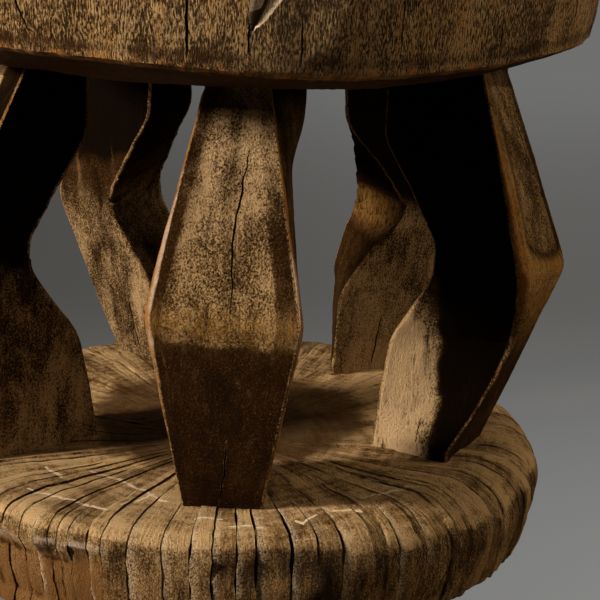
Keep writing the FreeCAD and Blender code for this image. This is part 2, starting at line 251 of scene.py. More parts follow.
# Cracks in the seat's rim: place in degrees, upper and lower end, width and depth in millimetres, and
# for some a slant in degrees
SEAT_CRACKS = [
    (-6.4, 314, 279, 1.3, 8), (8.4, 297, 277, 0.8, 6), (1.6, 296, 279, 0.7, 6), (-25, 300, 281, 0.7, 5),
    (22, 310, 279, 0.6, 4), (39, 300, 280, 0.7, 5), (-15, 318, 300, 0.6, 4), (-30.8, 305, 280, 0.8, 1.4, 3.4),
]


def settings():
    """The stool's settings in this scene."""
    return bpy.context.scene.stool


def set_out_legs():
    """Fill the list of legs with their places and widths."""
    for name, values in LEGS.items():
        leg = settings().leg.add()
        leg.name = name
        for key, number in values.items():
            if key in LEG_ANGLES:
                number = math.radians(number)
            elif key not in LEG_SHARES:
                number = number * MM
            setattr(leg, key, number)


# Modelling by operators

def start_mesh(name, add_primitive):
    """Deselect all, add a primitive, name it and open it in edit mode."""
    bpy.ops.object.select_all(action="DESELECT")
    add_primitive()
    piece = bpy.context.object
    piece.name = name
    piece.data.name = name
    bpy.ops.object.mode_set(mode="EDIT")
    return piece


def close_mesh():
    """Turn all faces outwards and leave edit mode."""
    bpy.ops.mesh.select_all(action="SELECT")
    bpy.ops.mesh.normals_make_consistent(inside=False)
    bpy.ops.object.mode_set(mode="OBJECT")


def select_edges(piece, test):
    """Select the edges whose two ends pass the test together."""
    bpy.ops.mesh.select_all(action="DESELECT")
    bpy.ops.mesh.select_mode(type="EDGE")
    mesh = bmesh.from_edit_mesh(piece.data)
    for edge in mesh.edges:
        edge.select_set(test(*(vertex.co for vertex in edge.verts)))
    bmesh.update_edit_mesh(piece.data)


def select_only(piece):
    """Select one piece and make it active."""
    bpy.ops.object.select_all(action="DESELECT")
    piece.select_set(True)
    bpy.context.view_layer.objects.active = piece


def apply_modifier(piece, name, kind, **values):
    """Add a modifier, set it up and apply it."""
    modifier = piece.modifiers.new(name, kind)
    for key, value in values.items():
        setattr(modifier, key, value)
    bpy.context.view_layer.objects.active = piece
    bpy.ops.object.modifier_apply(modifier=name)


def turned_blank(name, spokes, cuts):
    """An upright round blank, cut level by level into rings."""
    def add_cylinder():
        bpy.ops.mesh.primitive_cylinder_add(vertices=spokes, radius=1, depth=1, end_fill_type="NGON")

    piece = start_mesh(name, add_cylinder)
    for count in cuts:
        select_edges(piece, lambda first, second: abs(first.z - second.z) > 1e-4)
        bpy.ops.mesh.subdivide(number_cuts=count)
    close_mesh()
    return piece


def hew(piece, places):
    """Bring a blank's points to their places, given ring by ring from below, spoke by spoke."""
    rings, spokes, _ = places.shape
    points = points_of(piece)
    ring = np.round((points[:, 2] + 0.5) * (rings - 1)).astype(int)
    spoke = np.round(np.arctan2(points[:, 1], points[:, 0]) / (2 * math.pi) * spokes).astype(int) % spokes
    if len(points) != rings * spokes:
        raise RuntimeError(piece.name + ": the blank doesn't fit its places")
    move_points(piece, places[ring, spoke])
    return ring, spoke


def relief(name, size, depth=2):
    """A cloudy relief of a given lump size."""
    texture = bpy.data.textures.new(name, "CLOUDS")
    texture.noise_scale = size
    texture.noise_depth = depth
    return texture


def scallops(name, size):
    """A relief of shallow hollows that meet in ridges, as an adze leaves them."""
    texture = bpy.data.textures.new(name, "VORONOI")
    texture.noise_scale = size
    texture.distance_metric = "DISTANCE"
    return texture


def carve(piece, texture, depth, stretch=(1, 1, 1), group="", middle=0.5):
    """Press a relief into a piece, stretched along the axes, where a vertex group lets it."""
    guide = bpy.data.objects.new("relief_guide", None)
    bpy.context.scene.collection.objects.link(guide)
    guide.scale = stretch
    bpy.context.view_layer.update()
    apply_modifier(piece, texture.name, "DISPLACE", texture=texture, strength=depth, mid_level=middle,
                   texture_coords="OBJECT", texture_coords_object=guide, vertex_group=group)
    bpy.data.objects.remove(guide)
    bpy.data.textures.remove(texture)


# Shaping by points

def points_of(piece):
    """The piece's points as an array."""
    points = np.empty(len(piece.data.vertices) * 3)
    piece.data.vertices.foreach_get("co", points)
    return points.reshape(-1, 3)


def normals_of(piece):
    """The piece's point normals as an array."""
    normals = np.empty(len(piece.data.vertices) * 3)
    piece.data.vertices.foreach_get("normal", normals)
    return normals.reshape(-1, 3)


def move_points(piece, points):
    """Put the piece's points at new places."""
    piece.data.vertices.foreach_set("co", points.ravel())
    piece.data.update()


def ramp(low, high, x):
    """0 at low, 1 at high and smooth between."""
    t = np.clip((x - low) / (high - low), 0, 1)
    return t * t * (3 - 2 * t)


def bell(away, width):
    """1 where the distance is nothing, falling off over a width."""
    return np.exp(-(away / width) ** 2)


def columns_at(table, level):
    """A table's columns between its levels: millimetres in the table, metres here."""
    stops, *columns = zip(*table)
    return [np.interp(level / MM, stops, column) * MM for column in columns]


def lumps(points, size, seed=0.0):
    """A smooth number between -1 and 1 for each point, changing over a given size."""
    shift = Vector((seed * 3.1, seed * 1.7, -seed * 2.3))
    flat = np.reshape(points, (-1, 3)) / size
    values = [noise.noise(Vector(point) + shift) for point in flat]
    return np.reshape(values, np.shape(points)[:-1])


def keep_values(piece, name, values, domain="POINT"):
    """Keep one number for each point or face, for the finish to read."""
    attribute = piece.data.attributes.new(name, "FLOAT", domain)
    attribute.data.foreach_set("value", np.asarray(values, np.float32))


def point_group(piece, name, weights):
    """A vertex group with a weight for each point, in steps of a tenth."""
    group = piece.vertex_groups.new(name=name)
    steps = np.round(np.clip(weights, 0, 1) * 10).astype(int)
    for step in range(1, 11):
        chosen = np.nonzero(steps == step)[0]
        if len(chosen):
            group.add(chosen.tolist(), step / 10, "REPLACE")
    return name


def proud_of(piece, rounds):
    """How far each point stands proud of the smoothed surface around it."""
    points = points_of(piece)
    count = len(points)
    ends = np.empty(len(piece.data.edges) * 2, np.int64)
    piece.data.edges.foreach_get("vertices", ends)
    first, second = ends.reshape(-1, 2).T
    degree = np.bincount(first, minlength=count) + np.bincount(second, minlength=count)
    smooth = points.copy()
    for _ in range(rounds):
        total = np.empty_like(smooth)
        for axis in range(3):
            total[:, axis] = np.bincount(first, smooth[second, axis], count)
            total[:, axis] += np.bincount(second, smooth[first, axis], count)
        smooth = (smooth + total / np.maximum(degree, 1)[:, None]) / 2
    return ((points - smooth) * normals_of(piece)).sum(1)


# Cracks

def wander(where, step, reach):
    """A small steady shift that depends only on the place."""
    return noise.noise(Vector(where) * (1 / step)) * reach


def crack_line(stations, width, depth, ragged=0.0):
    """Stations of a crack, narrow at its ends: place, outward direction, half width, depth."""
    count = len(stations)
    line = []
    for number, (place, outward) in enumerate(stations):
        share = number / (count - 1)
        swell = math.sin(math.pi * min(max(share, 0.02), 0.98)) ** 0.5
        uneven = 1 + wander(place, 0.009, 0.7)
        half = max(width * MM * swell * uneven, 0.12 * MM) / 2
        line.append((place, outward, half, max(depth * MM * swell, 0.4 * MM), ragged))
    return line


def wedge(line):
    """Points and faces of the wedge that a crack takes out."""
    points, faces = [], []
    lift = 2.5 * MM
    last = len(line) - 1
    for number, (place, outward, half, depth, ragged) in enumerate(line):
        onward = line[min(number + 1, last)][0] - line[max(number - 1, 0)][0]
        side = outward.cross(onward).normalized()
        middle = place + side * wander(place, 0.006, ragged)
        spread = half * (depth + lift) / depth
        points += [middle + outward * lift + side * spread, middle + outward * lift - side * spread,
                   middle - outward * depth]
        if number:
            new, old = 3 * number, 3 * number - 3
            for a, b in ((0, 1), (1, 2), (2, 0)):
                faces.append((old + a, old + b, new + b, new + a))
    faces.append((0, 2, 1))
    end = 3 * last
    faces.append((end, end + 1, end + 2))
    return points, faces


def cutter_mesh(name, solids):
    """One mesh of several closed solids, each given as points and faces."""
    points, faces = [], []
    for solid_points, solid_faces in solids:
        start = len(points)
        points += solid_points
        faces += [tuple(start + corner for corner in face) for face in solid_faces]
    mesh = bpy.data.meshes.new(name)
    mesh.from_pydata(points, [], faces)
    cutter = bpy.data.objects.new(name, mesh)
    bpy.context.scene.collection.objects.link(cutter)
    select_only(cutter)
    bpy.ops.object.mode_set(mode="EDIT")
    close_mesh()
    return cutter


def split_wood(piece, cracks, scars=()):
    """Cut cracks and pale scars into a piece and mark the walls that they leave."""
    before = len(piece.data.polygons)
    for name in ("wood", "crack_wall", "scar_wall"):
        piece.data.materials.append(bpy.data.materials.get(name) or bpy.data.materials.new(name))
    for number, lines in ((1, cracks), (2, scars)):
        if not lines:
            continue
        cutter = cutter_mesh(piece.name + "_cutter", [wedge(line) for line in lines])
        for material in piece.data.materials:
            cutter.data.materials.append(material)
        cutter.data.polygons.foreach_set("material_index", [number] * len(cutter.data.polygons))
        apply_modifier(piece, "cut", "BOOLEAN", operation="DIFFERENCE", solver="EXACT", object=cutter)
        bpy.data.objects.remove(cutter)
    if len(piece.data.polygons) < before:
        raise RuntimeError(piece.name + ": the cracks couldn't be cut")
    walls = np.empty(len(piece.data.polygons), np.int32)
    piece.data.polygons.foreach_get("material_index", walls)
    keep_values(piece, "crack", walls == 1, "FACE")
    keep_values(piece, "scar", walls == 2, "FACE")
    piece.data.polygons.foreach_set("material_index", np.zeros(len(walls), np.int32))
    piece.data.materials.clear()


def finish_piece(piece, material, rounds, smooth_angle=40.0):
    """Mark wear, shade, give the piece its finish and set it on the stool's body."""
    keep_values(piece, "proud", proud_of(piece, rounds) / MM)
    piece.data.materials.append(material)
    select_only(piece)
    bpy.ops.object.shade_smooth_by_angle(angle=math.radians(smooth_angle))
    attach(piece, BODY)


# Finish

class Shading:
    """A node tree that is built from left to right."""

    def __init__(self, tree):
        self.tree = tree

    def add(self, kind, inputs=None, **values):
        """Add a node, set its values, and wire or set its inputs by name or number."""
        node = self.tree.nodes.new(kind)
        for key, value in values.items():
            setattr(node, key, value)
        self.fill(node, inputs or {})
        return node

    def fill(self, node, inputs):
        """Wire or set a node's inputs."""
        for key, value in inputs.items():
            if isinstance(value, bpy.types.NodeSocket):
                self.tree.links.new(value, node.inputs[key])
            else:
                node.inputs[key].default_value = value

    def maths(self, operation, first, second=0.0, clamp=False):
        """The number that a maths node works out."""
        node = self.add("ShaderNodeMath", {0: first, 1: second}, operation=operation, use_clamp=clamp)
        return node.outputs[0]

    def vector(self, operation, first, second=(0, 0, 0)):
        """What a vector node works out: a number for a length or a product, or else a vector."""
        node = self.add("ShaderNodeVectorMath", {0: first, 1: second}, operation=operation)
        return node.outputs["Value" if operation in ("LENGTH", "DISTANCE", "DOT_PRODUCT") else "Vector"]

    def times(self, *values):
        """The product of several values."""
        product = values[0]
        for value in values[1:]:
            product = self.maths("MULTIPLY", product, value)
        return product

    def plus(self, *values):
        """The sum of several values."""
        total = values[0]
        for value in values[1:]:
            total = self.maths("ADD", total, value)
        return total

    def speckle(self, vector, scale, detail=3.0, rough=0.55, twist=0.0):
        """A noise around a half."""
        inputs = {"Vector": vector, "Scale": scale, "Detail": detail, "Roughness": rough, "Distortion": twist}
        return self.add("ShaderNodeTexNoise", inputs).outputs["Fac"]

    def between(self, value, low, high):
        """0 at low, 1 at high and smooth between."""
        inputs = {"Value": value, "From Min": low, "From Max": high}
        node = self.add("ShaderNodeMapRange", inputs, interpolation_type="SMOOTHSTEP")
        return node.outputs["Result"]

    def mix(self, share, first, second):
        """A colour on the way from one to another."""
        node = self.add("ShaderNodeMix", data_type="RGBA")
        self.fill(node, {0: share, 6: first, 7: second})
        return node.outputs[2]

    def group(self, name, inputs):
        """Place a node group that has been built once."""
        node = self.add("ShaderNodeGroup", node_tree=bpy.data.node_groups[name])
        self.fill(node, inputs)
        return node.outputs

    def mark(self, name):
        """A number that the piece keeps for each point or face."""
        return self.add("ShaderNodeAttribute", attribute_name=name).outputs["Fac"]


def new_group(name, inputs, outputs):
    """An empty shader node group with named sockets: numbers, or vectors where a default is one."""
    group = bpy.data.node_groups.new(name, "ShaderNodeTree")
    for title, default in inputs.items():
        kind = "NodeSocketVector" if isinstance(default, tuple) else "NodeSocketFloat"
        socket = group.interface.new_socket(title, in_out="INPUT", socket_type=kind)
        socket.default_value = default
    for title in outputs:
        group.interface.new_socket(title, in_out="OUTPUT", socket_type="NodeSocketFloat")
    shading = Shading(group)
    start = shading.add("NodeGroupInput")
    end = shading.add("NodeGroupOutput")
    return shading, start.outputs, end


def log_grain_group():
    """Grain of an upright log: fibres, specks, patches, and rays and rings about its pith."""
    shading, start, end = new_group(
        "log_grain", {"Pith": settings().base.pith, "Fibre Size": 750.0, "Fibre Length": 0.05},
        ("Fibre", "Speck", "Patch", "Streak", "Ray", "Ring", "Level"))
    place = shading.add("ShaderNodeTexCoord")
    point = place.outputs["Object"]

    def stretched(length, *noise_values):
        return shading.speckle(shading.vector("MULTIPLY", point, (1, 1, length)), *noise_values)

    along_log = shading.add("ShaderNodeCombineXYZ", {"X": 1.0, "Y": 1.0, "Z": start["Fibre Length"]})
    long_point = shading.vector("MULTIPLY", point, along_log.outputs[0])
    pith = shading.add("ShaderNodeCombineXYZ", {"Y": start["Pith"]}).outputs[0]
    flat = shading.vector("MULTIPLY", shading.vector("ADD", point, pith), (1, 1, 0))
    reach = shading.vector("LENGTH", flat)
    drift = shading.add("ShaderNodeCombineXYZ", {"Z": shading.times(reach, 0.7)}).outputs[0]
    turn = shading.vector("ADD", shading.vector("NORMALIZE", flat), drift)
    sway = shading.speckle(point, 14.0, 2.0)
    rings = shading.maths("SINE", shading.plus(shading.times(reach, 900.0), shading.times(sway, 22.0)))
    upright = shading.add("ShaderNodeSeparateXYZ", {0: place.outputs["Normal"]}).outputs["Z"]
    shading.fill(end, {
        "Fibre": shading.speckle(long_point, start["Fibre Size"], 4.0, 0.65),
        "Speck": stretched(0.75, 1250.0, 4.0, 0.65, 0.5),
        "Patch": stretched(0.6, 42.0, 6.0, 0.66, 0.4),
        "Streak": stretched(0.12, 120.0, 4.0, 0.6, 0.3),
        "Ray": shading.speckle(turn, 95.0, 4.0, 0.6),
        "Ring": shading.plus(shading.times(rings, 0.5), 0.5),
        "Level": shading.between(shading.maths("ABSOLUTE", upright), 0.25, 0.55),
    })


def rubbed_edge_group():
    """Where an arris is rubbed through: how worn it is, broken up by the grain."""
    shading, start, end = new_group("rubbed_edge", {"Worn": 0.0, "Break": 0.5, "Ragged": 0.6}, ("Mask",))
    uneven = shading.times(shading.maths("SUBTRACT", start["Break"], 0.5), start["Ragged"])
    shading.fill(end, {"Mask": shading.between(shading.plus(start["Worn"], uneven), 0.25, 0.75)})


def score_line_group():
    """A scratch from one place to another, seen from above, a little crooked and broken."""
    shading, start, end = new_group("score_line", {"From": (0, 0, 0), "To": (1, 0, 0), "Width": SCORE_WIDTH},
                                    ("Mask",))
    place = shading.add("ShaderNodeTexCoord").outputs["Object"]
    wobble = shading.add("ShaderNodeTexNoise", {"Vector": place, "Scale": 110.0, "Detail": 2.0})
    centred = shading.vector("SUBTRACT", wobble.outputs["Color"], (0.5, 0.5, 0.5))
    crooked = shading.vector("ADD", shading.vector("MULTIPLY", centred, (0.005, 0.005, 0)), place)
    reach = shading.vector("SUBTRACT", shading.vector("MULTIPLY", crooked, (1, 1, 0)), start["From"])
    whole = shading.vector("SUBTRACT", start["To"], start["From"])
    share = shading.maths("DIVIDE", shading.vector("DOT_PRODUCT", reach, whole),
                          shading.vector("DOT_PRODUCT", whole, whole), clamp=True)
    foot = shading.add("ShaderNodeVectorMath", {0: whole, "Scale": share}, operation="SCALE").outputs[0]
    apart = shading.maths("DIVIDE", shading.vector("DISTANCE", reach, foot), start["Width"])
    broken = shading.between(shading.speckle(place, 260.0, 2.0), 0.30, 0.44)
    shading.fill(end, {"Mask": shading.times(shading.between(apart, 0.9, 0.6), broken)})


class Wood(Shading):
    """Old wood in the making: the grain, and a colour that each step adds to."""

    def __init__(self, name, fibre_size, fibre_length):
        self.material = bpy.data.materials.new(name)
        self.material.use_nodes = True
        self.material.node_tree.nodes.clear()
        super().__init__(self.material.node_tree)
        self.grain = self.group("log_grain", {"Pith": settings().base.pith, "Fibre Size": fibre_size,
                                              "Fibre Length": fibre_length})
        self.colour = None

    @staticmethod
    def pot(name):
        """A colour of the finish, with full alpha."""
        return (*getattr(settings().finish, name), 1.0)

    def swing(self, **shares):
        """A swing about zero, summed from several parts of the grain."""
        return self.plus(*(self.times(self.maths("SUBTRACT", self.grain[part], 0.5), share)
                           for part, share in shares.items()))

    def by_level(self, ends, sides):
        """One grain on level faces and another on upright ones."""
        level = self.grain["Level"]
        upright = self.maths("SUBTRACT", 1.0, level)
        return self.plus(self.times(ends, level), self.times(sides, upright))

    def rubbed(self, mark, part, ragged):
        """Where a mark is rubbed through, broken up by a part of the grain."""
        inputs = {"Worn": self.mark(mark), "Break": self.grain[part], "Ragged": ragged}
        return self.group("rubbed_edge", inputs)["Mask"]

    def ground(self, tone):
        """Colour the wood from dark to light by its tone."""
        low = self.mix(self.between(tone, 0.22, 0.5), self.pot("shade"), self.pot("heart"))
        self.colour = self.mix(self.between(tone, 0.45, 0.85), low, self.pot("tan"))

    def lay(self, name, *shares):
        """Lay a colour of the finish over what is there, by the product of the shares."""
        self.colour = self.mix(self.times(*shares), self.colour, self.pot(name))

    def close(self, roughness, height, distance, gloss):
        """Add the dirt and the cracks, and close the material."""
        self.lay("stain", self.between(self.mark("proud"), -0.08, -0.7), 0.85)
        # Crack walls and crack lines are painted near black: partly grime, and on the base's fine cracks
        # partly painted shade.
        self.lay("stain", self.mark("crack"), 0.96)
        bump = self.add("ShaderNodeBump", {"Height": height, "Strength": 0.8, "Distance": distance})
        surface = self.add("ShaderNodeBsdfPrincipled", {
            "Base Color": self.colour, "Roughness": roughness, "Normal": bump.outputs[0],
            "Specular IOR Level": gloss, "Specular Tint": WARM_SHEEN})
        self.add("ShaderNodeOutputMaterial", {"Surface": surface.outputs[0]})
        return self.material


def leg_wood():
    """Legs: speckled tan faces, blackened below the knee, with orange arrises."""
    wood = Wood("leg_wood", 800.0, 0.08)
    grain = wood.grain
    smooth = wood.between(wood.mark("bare"), 0.65, 1.0)
    fine = wood.swing(Speck=2.7, Fibre=0.7)
    calmed = wood.times(fine, wood.plus(wood.times(smooth, -0.55), 1.0))
    veined = wood.plus(wood.swing(Fibre=1.6, Streak=1.2), 0.22)
    tone = wood.plus(calmed, wood.swing(Patch=1.7, Streak=0.8), 0.53, wood.times(smooth, veined))
    wood.ground(tone)
    wood.lay("bare", wood.mark("bare"), wood.between(tone, 0.0, 0.75))
    stained = wood.plus(wood.mark("stain"), wood.swing(Patch=-0.9, Speck=-0.35))
    stained = wood.between(stained, 0.0, 1.0)
    flecks = wood.plus(wood.times(wood.between(grain["Speck"], 0.52, 0.75), -0.20),
                       wood.times(wood.between(grain["Streak"], 0.55, 0.8), -0.16), 0.985)
    wood.lay("stain", stained, flecks)
    mottled = wood.plus(wood.swing(Speck=-2.2, Patch=-2.0, Streak=-1.4), 0.35)
    wood.lay("soot", stained, wood.between(mottled, 0.0, 1.0), 0.75)
    # The upper flanks are painted black: partly smoke-black wood, partly painted shade of the seat and the
    # other legs.
    sooted_and_shaded = wood.plus(wood.mark("soot"), wood.swing(Patch=-0.6))
    wood.lay("soot", wood.between(sooted_and_shaded, 0.1, 0.8), 0.96)
    wood.lay("worn", wood.rubbed("worn", "Streak", 1.6), wood.between(grain["Fibre"], 0.2, 0.55), 0.95)
    wood.lay("gold", wood.mark("warm"), wood.between(grain["Fibre"], 0.32, 0.60), 0.85)
    # The arrises' shine is painted pale as a highlight, and also makes them glossier.
    shine = wood.times(wood.rubbed("shine", "Patch", 2.6), wood.between(wood.mark("shine"), 0.03, 0.2))
    wood.lay("polish_and_highlight", shine, 0.75)
    rough = wood.plus(wood.times(grain["Patch"], 0.3), wood.times(shine, -0.15),
                      wood.times(wood.mark("soot"), 0.3), 0.50)
    return wood.close(rough, wood.plus(fine, wood.swing(Patch=0.8)), 0.0019, 0.04)


def base_wood():
    """Base: end grain with fine rays and faint rings on top, brown streaks down the side."""
    wood = Wood("base_wood", 620.0, 0.09)
    grain = wood.grain
    sides = wood.plus(wood.swing(Fibre=0.7, Speck=1.7, Streak=0.6), -0.14)
    fine = wood.by_level(wood.swing(Ray=0.7, Speck=1.1, Fibre=0.6, Ring=0.10), sides)
    wood.ground(wood.plus(fine, wood.swing(Patch=1.2), wood.times(wood.mark("tone"), 0.16),
                          wood.times(grain["Level"], 0.12), 0.55))
    stained = wood.plus(wood.mark("stain"), wood.swing(Patch=-1.0))
    wood.lay("stain", wood.between(stained, 0.25, 0.9), 0.85)
    broken = wood.plus(wood.mark("broken"), wood.swing(Patch=1.6, Fibre=0.8))
    wood.lay("rust", wood.between(broken, 0.35, 0.9), 0.75)
    # The rubbed broken edge is painted pale, partly rubbed wood and partly a painted highlight, and made
    # glossier.
    edge = wood.rubbed("worn", "Patch", 1.2)
    wood.lay("polish_and_highlight", edge, 0.7)
    # The right lips of the cracks, painted pale as a highlight.
    wood.lay("score", wood.mark("lip"), wood.between(grain["Speck"], 0.35, 0.6), 0.75)
    for line in SCORES:
        for first, last in zip(line, line[1:]):
            ends = {"From": rim_point(first[0], first[1] * MM), "To": rim_point(last[0], last[1] * MM)}
            score = wood.group("score_line", {**ends, "Width": SCORE_WIDTH})
            wood.lay("score", score["Mask"], grain["Level"])
    rough = wood.plus(wood.times(grain["Patch"], 0.25), wood.times(edge, -0.2), 0.45)
    return wood.close(rough, fine, 0.0020, 0.10)


def seat_wood():
    """Seat: upright fibres, pale over dark, end grain on top, an orange lower arris and a black underside."""
    wood = Wood("seat_wood", 1500.0, 0.22)
    grain = wood.grain
    fine = wood.by_level(wood.swing(Ray=0.8, Speck=0.7, Ring=0.08), wood.swing(Fibre=3.4, Speck=1.0))
    patchy = wood.by_level(wood.swing(Patch=0.75), wood.swing(Patch=1.5))
    tone = wood.plus(fine, patchy, wood.swing(Streak=0.5), 0.50)
    wood.ground(tone)
    wood.lay("gold", wood.between(grain["Streak"], 0.5, 0.62), wood.between(tone, 0.3, 0.7), 0.5)
    stained = wood.plus(wood.mark("stain"), wood.swing(Patch=-1.0))
    wood.lay("stain", wood.between(stained, 0.25, 0.8), 0.96)
    wood.lay("worn", wood.rubbed("worn", "Streak", 2.6), wood.between(grain["Fibre"], 0.35, 0.6), 0.8)
    wood.lay("score", wood.mark("scar"))
    rough = wood.plus(wood.times(grain["Patch"], 0.25), 0.45)
    return wood.close(rough, fine, 0.0018, 0.10)


# Pieces

def rim_point(turn, radius):
    """A point round the axis: degrees from the front towards the right."""
    return Vector((math.sin(math.radians(turn)) * radius, -math.cos(math.radians(turn)) * radius, 0))


def base_cracks(base, seed):
    """The main cracks, and finer ones between them all round the rim."""
    chance = random.Random(seed)
    cracks = list(BASE_CRACKS)
    for turn in REAR_CRACKS:
        cracks.append((turn, chance.uniform(36, 80), chance.uniform(2, 20), chance.uniform(1.1, 2.0), 10))
    step = math.degrees(base.strip / base.radius)
    main = [crack[0] for crack in cracks]
    turn = -180.0
    while turn < 180 - step / 2:
        if min(abs(turn - other) for other in main) > step * 0.45 and not -14 < turn < 22:
            cracks.append((turn, chance.uniform(30, 92), chance.uniform(26, 54), chance.uniform(0.3, 0.8),
                           chance.choice((0.25, 0.4, 0.6))))
        turn += step * chance.uniform(0.5, 1.5)
    return sorted(cracks)


class STOOL_OT_base(bpy.types.Operator):
    """Carve the round base, with its cracked top and shoulder"""

    bl_idname = "stool.base"
    bl_label = "Carve Base"

    def execute(self, context):
        base = settings().base
        cracks = base_cracks(base, settings().seed)
        spokes = self.spokes(base, cracks)
        rings = self.rings(base)
        piece = turned_blank("base_disc", len(spokes["turn"]), (len(rings) - 2,))
        places, marks = self.places(base, cracks, spokes, rings)
        ring, spoke = hew(piece, places)
        carve(piece, relief("base_lumps", 0.07), 0.0030, middle=0.55)
        carve(piece, scallops("base_dressing", 0.024), 0.0012, middle=0.3)
        carve(piece, relief("base_grit", 0.0045, 3), 0.0007)
        points = points_of(piece)
        side = point_group(piece, "side", ramp(0.043, 0.034, points[:, 2]))
        carve(piece, relief("base_torn_side", 0.0055, 4), 0.0024, (1, 1, 1.8), side)
        piece.vertex_groups.clear()
        points = points_of(piece)
        points[:, 2] = np.where(ring == 0, 0, np.maximum(points[:, 2], 0))
        move_points(piece, points)
        for name, values in marks.items():
            keep_values(piece, name, values[ring, spoke])
        finish_piece(piece, base_wood(), 3, 60)
        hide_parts("base")
        return {"FINISHED"}

    @staticmethod
    def spokes(base, cracks):
        """Lines from the pith to the rim: one in each crack, two on its lips and two between cracks."""
        turns, owner, groove, across = [], [], [], []
        for number, crack in enumerate(cracks):
            after = cracks[(number + 1) % len(cracks)]
            gap = (after[0] - crack[0]) % 360
            arc = math.radians(gap) * base.radius / MM
            lip = min(max(crack[3] / 2, 0.3) / arc, 0.2)
            far_lip = min(max(after[3] / 2, 0.3) / arc, 0.2)
            for share, depth in ((0, 1.0), (lip, 0.06), (0.38, 0), (0.64, 0), (1 - far_lip, 0)):
                turns.append(crack[0] + gap * share)
                owner.append(number)
                groove.append(depth)
                across.append(share)
        return {"turn": np.array(turns), "owner": np.array(owner), "groove": np.array(groove),
                "across": np.array(across)}

    @staticmethod
    def rings(base):
        """Radius, share of the way from the pith, level and tilt of each ring, from the floor up."""
        foot = base.radius - base.floor_inset
        side_top = base.high - base.shoulder_drop
        low = 0.3 * base.floor_round
        rings = [(foot - base.floor_round, 1, 0, 0), (foot - low, 1, low, 0), (foot, 1, base.floor_round, 0)]
        for step in range(1, 13):
            share = step / 12
            rings.append((foot + base.floor_inset * math.sin(math.pi / 2 * share), 1,
                          base.floor_round + (side_top - base.floor_round) * share, 0))
        for step in range(1, 19):
            tilt = math.pi / 2 * step / 18
            rings.append((base.radius - base.shoulder_width * (1 - math.cos(tilt)), 1,
                          side_top + base.shoulder_drop * math.sin(tilt), tilt))
        flat = base.radius - base.shoulder_width
        for step in range(1, 47):
            rings.append((flat, 1 - 0.98 * (step / 46) ** 1.25, base.high, math.pi / 2))
        return rings

    @staticmethod
    def places(base, cracks, spokes, rings):
        """Where each point of the base lies, and its marks for the finish."""
        way = spokes["turn"]
        turn = np.radians(way)
        pith = np.array([0, -base.pith])
        outward = np.stack([np.sin(turn), -np.cos(turn)], 1)
        sideways = np.stack([np.cos(turn), np.sin(turn)], 1)
        owner = spokes["owner"]
        _, reach, low, _, depth = (np.array(column)[owner] * MM for column in zip(*cracks))
        chance = random.Random(settings().seed + 1)

        def drawn(least, most):
            return np.array([chance.uniform(least, most) for _ in cracks])[owner]

        heave = drawn(-1, 1) * base.heave
        tilt = drawn(-0.4, 1) * base.tilt
        edge_level = drawn(-1, 1) * 0.003
        tone = drawn(-1, 1)
        shape = (len(rings), len(turn))
        places = np.zeros((*shape, 3))
        marks = {name: np.zeros(shape) for name in ("crack", "worn", "broken", "stain", "lip", "tone")}
        # The right lip of each crack faces the light from the left and is painted pale as a highlight.
        right_lip_highlight = (np.arange(len(turn)) % 5 == 1) * 1.0
        fine = ramp(2.5 * MM, 1.0 * MM, depth)
        left_front = ramp(-17, -23, way)
        window = ramp(-66, -58, way) * (0.45 + 0.55 * left_front) * ramp(13, 6, way)
        square = ramp(-80, -60, way) * ramp(34, 8, way)
        line = 0.0425 - 0.004 * ramp(-24, -36, way) + 0.6 * edge_level
        for number, (radius, share, level, slope) in enumerate(rings):
            out, up = max(math.cos(slope), 0), math.sin(slope)
            radius = radius + base.shoulder_width * (out ** base.squareness - out) * square
            level = level + base.shoulder_drop * (up ** base.squareness - up) * square
            flat = outward * radius[:, None]
            spot = pith + (flat - pith) * share
            back = base.radius - radius + np.linalg.norm(flat - spot, axis=1)
            running = ramp(reach, reach - 0.016, back) * ramp(low - 0.004, low + 0.008, level)
            faint = 0.06 * ramp(0.12, 0.03, back)
            groove = depth * spokes["groove"] * np.maximum(running, faint)
            fade = ramp(0.15, 0.06, back)
            block = np.floor((back + 0.013 * np.sin(owner * 2.3)) / 0.019)
            step = 0.0003 * np.sin(block * 12.9 + owner * 7.7)
            push = (heave + step + tilt * (spokes["across"] - 0.5)) * fade - groove
            away = window * ramp(line + 0.001, line - 0.0025, level)
            push = push - base.broken * away * ramp(0.002, 0.010, level)
            places[number, :, :2] = spot + outward * (math.cos(slope) * push)[:, None]
            places[number, :, 2] = level + math.sin(slope) * push
            # A dark line along each crack: partly grime, partly painted shade of fine cracks too thin to
            # shade themselves.
            marks["crack"][number] = spokes["groove"] * running * (0.9 - 0.15 * fine)
            # The pale right lip: a painted highlight.
            marks["lip"][number] = right_lip_highlight * running * (1 - 0.6 * fine)
            marks["tone"][number] = tone * fade
            marks["broken"][number] = np.maximum(away, 0.5 * ramp(0.042, 0.032, level))
            # A thin line along the top of the broken edge, painted pale later as a highlight of the rubbed
            # edge.
            marks["worn"][number] = 0.55 * window * bell(level - line - 0.0025, 0.0025)
            # The middle of the top, under the seat and between the legs, is painted dark: partly grime,
            # partly painted shade.
            middle = ramp(0.10, 0.05, np.linalg.norm(spot, axis=1))
            foot = ramp(0.034, 0.010, level)
            marks["stain"][number] = 0.12 + 0.25 * window + 1.2 * middle + 0.25 * foot
        comes_and_goes = ramp(-0.65, 0.1, lumps(places + owner[None, :, None] * 0.02, 0.016))
        marks["crack"] *= 1 - fine[None] * (1 - comes_and_goes)
        marks["lip"] *= comes_and_goes
        from_pith = np.linalg.norm(places[:, :, :2] - pith, axis=2)
        strip = base.strip * np.clip(from_pith / base.radius, 0, 1)
        drift = 0.9 * MM * lumps(places, 0.030) * ramp(0.004, 0.03, from_pith)
        drift += 0.13 * strip * lumps(places + owner[None, :, None] * 0.05, 0.007)
        places[:, :, :2] += sideways[None] * drift[:, :, None]
        return places, marks


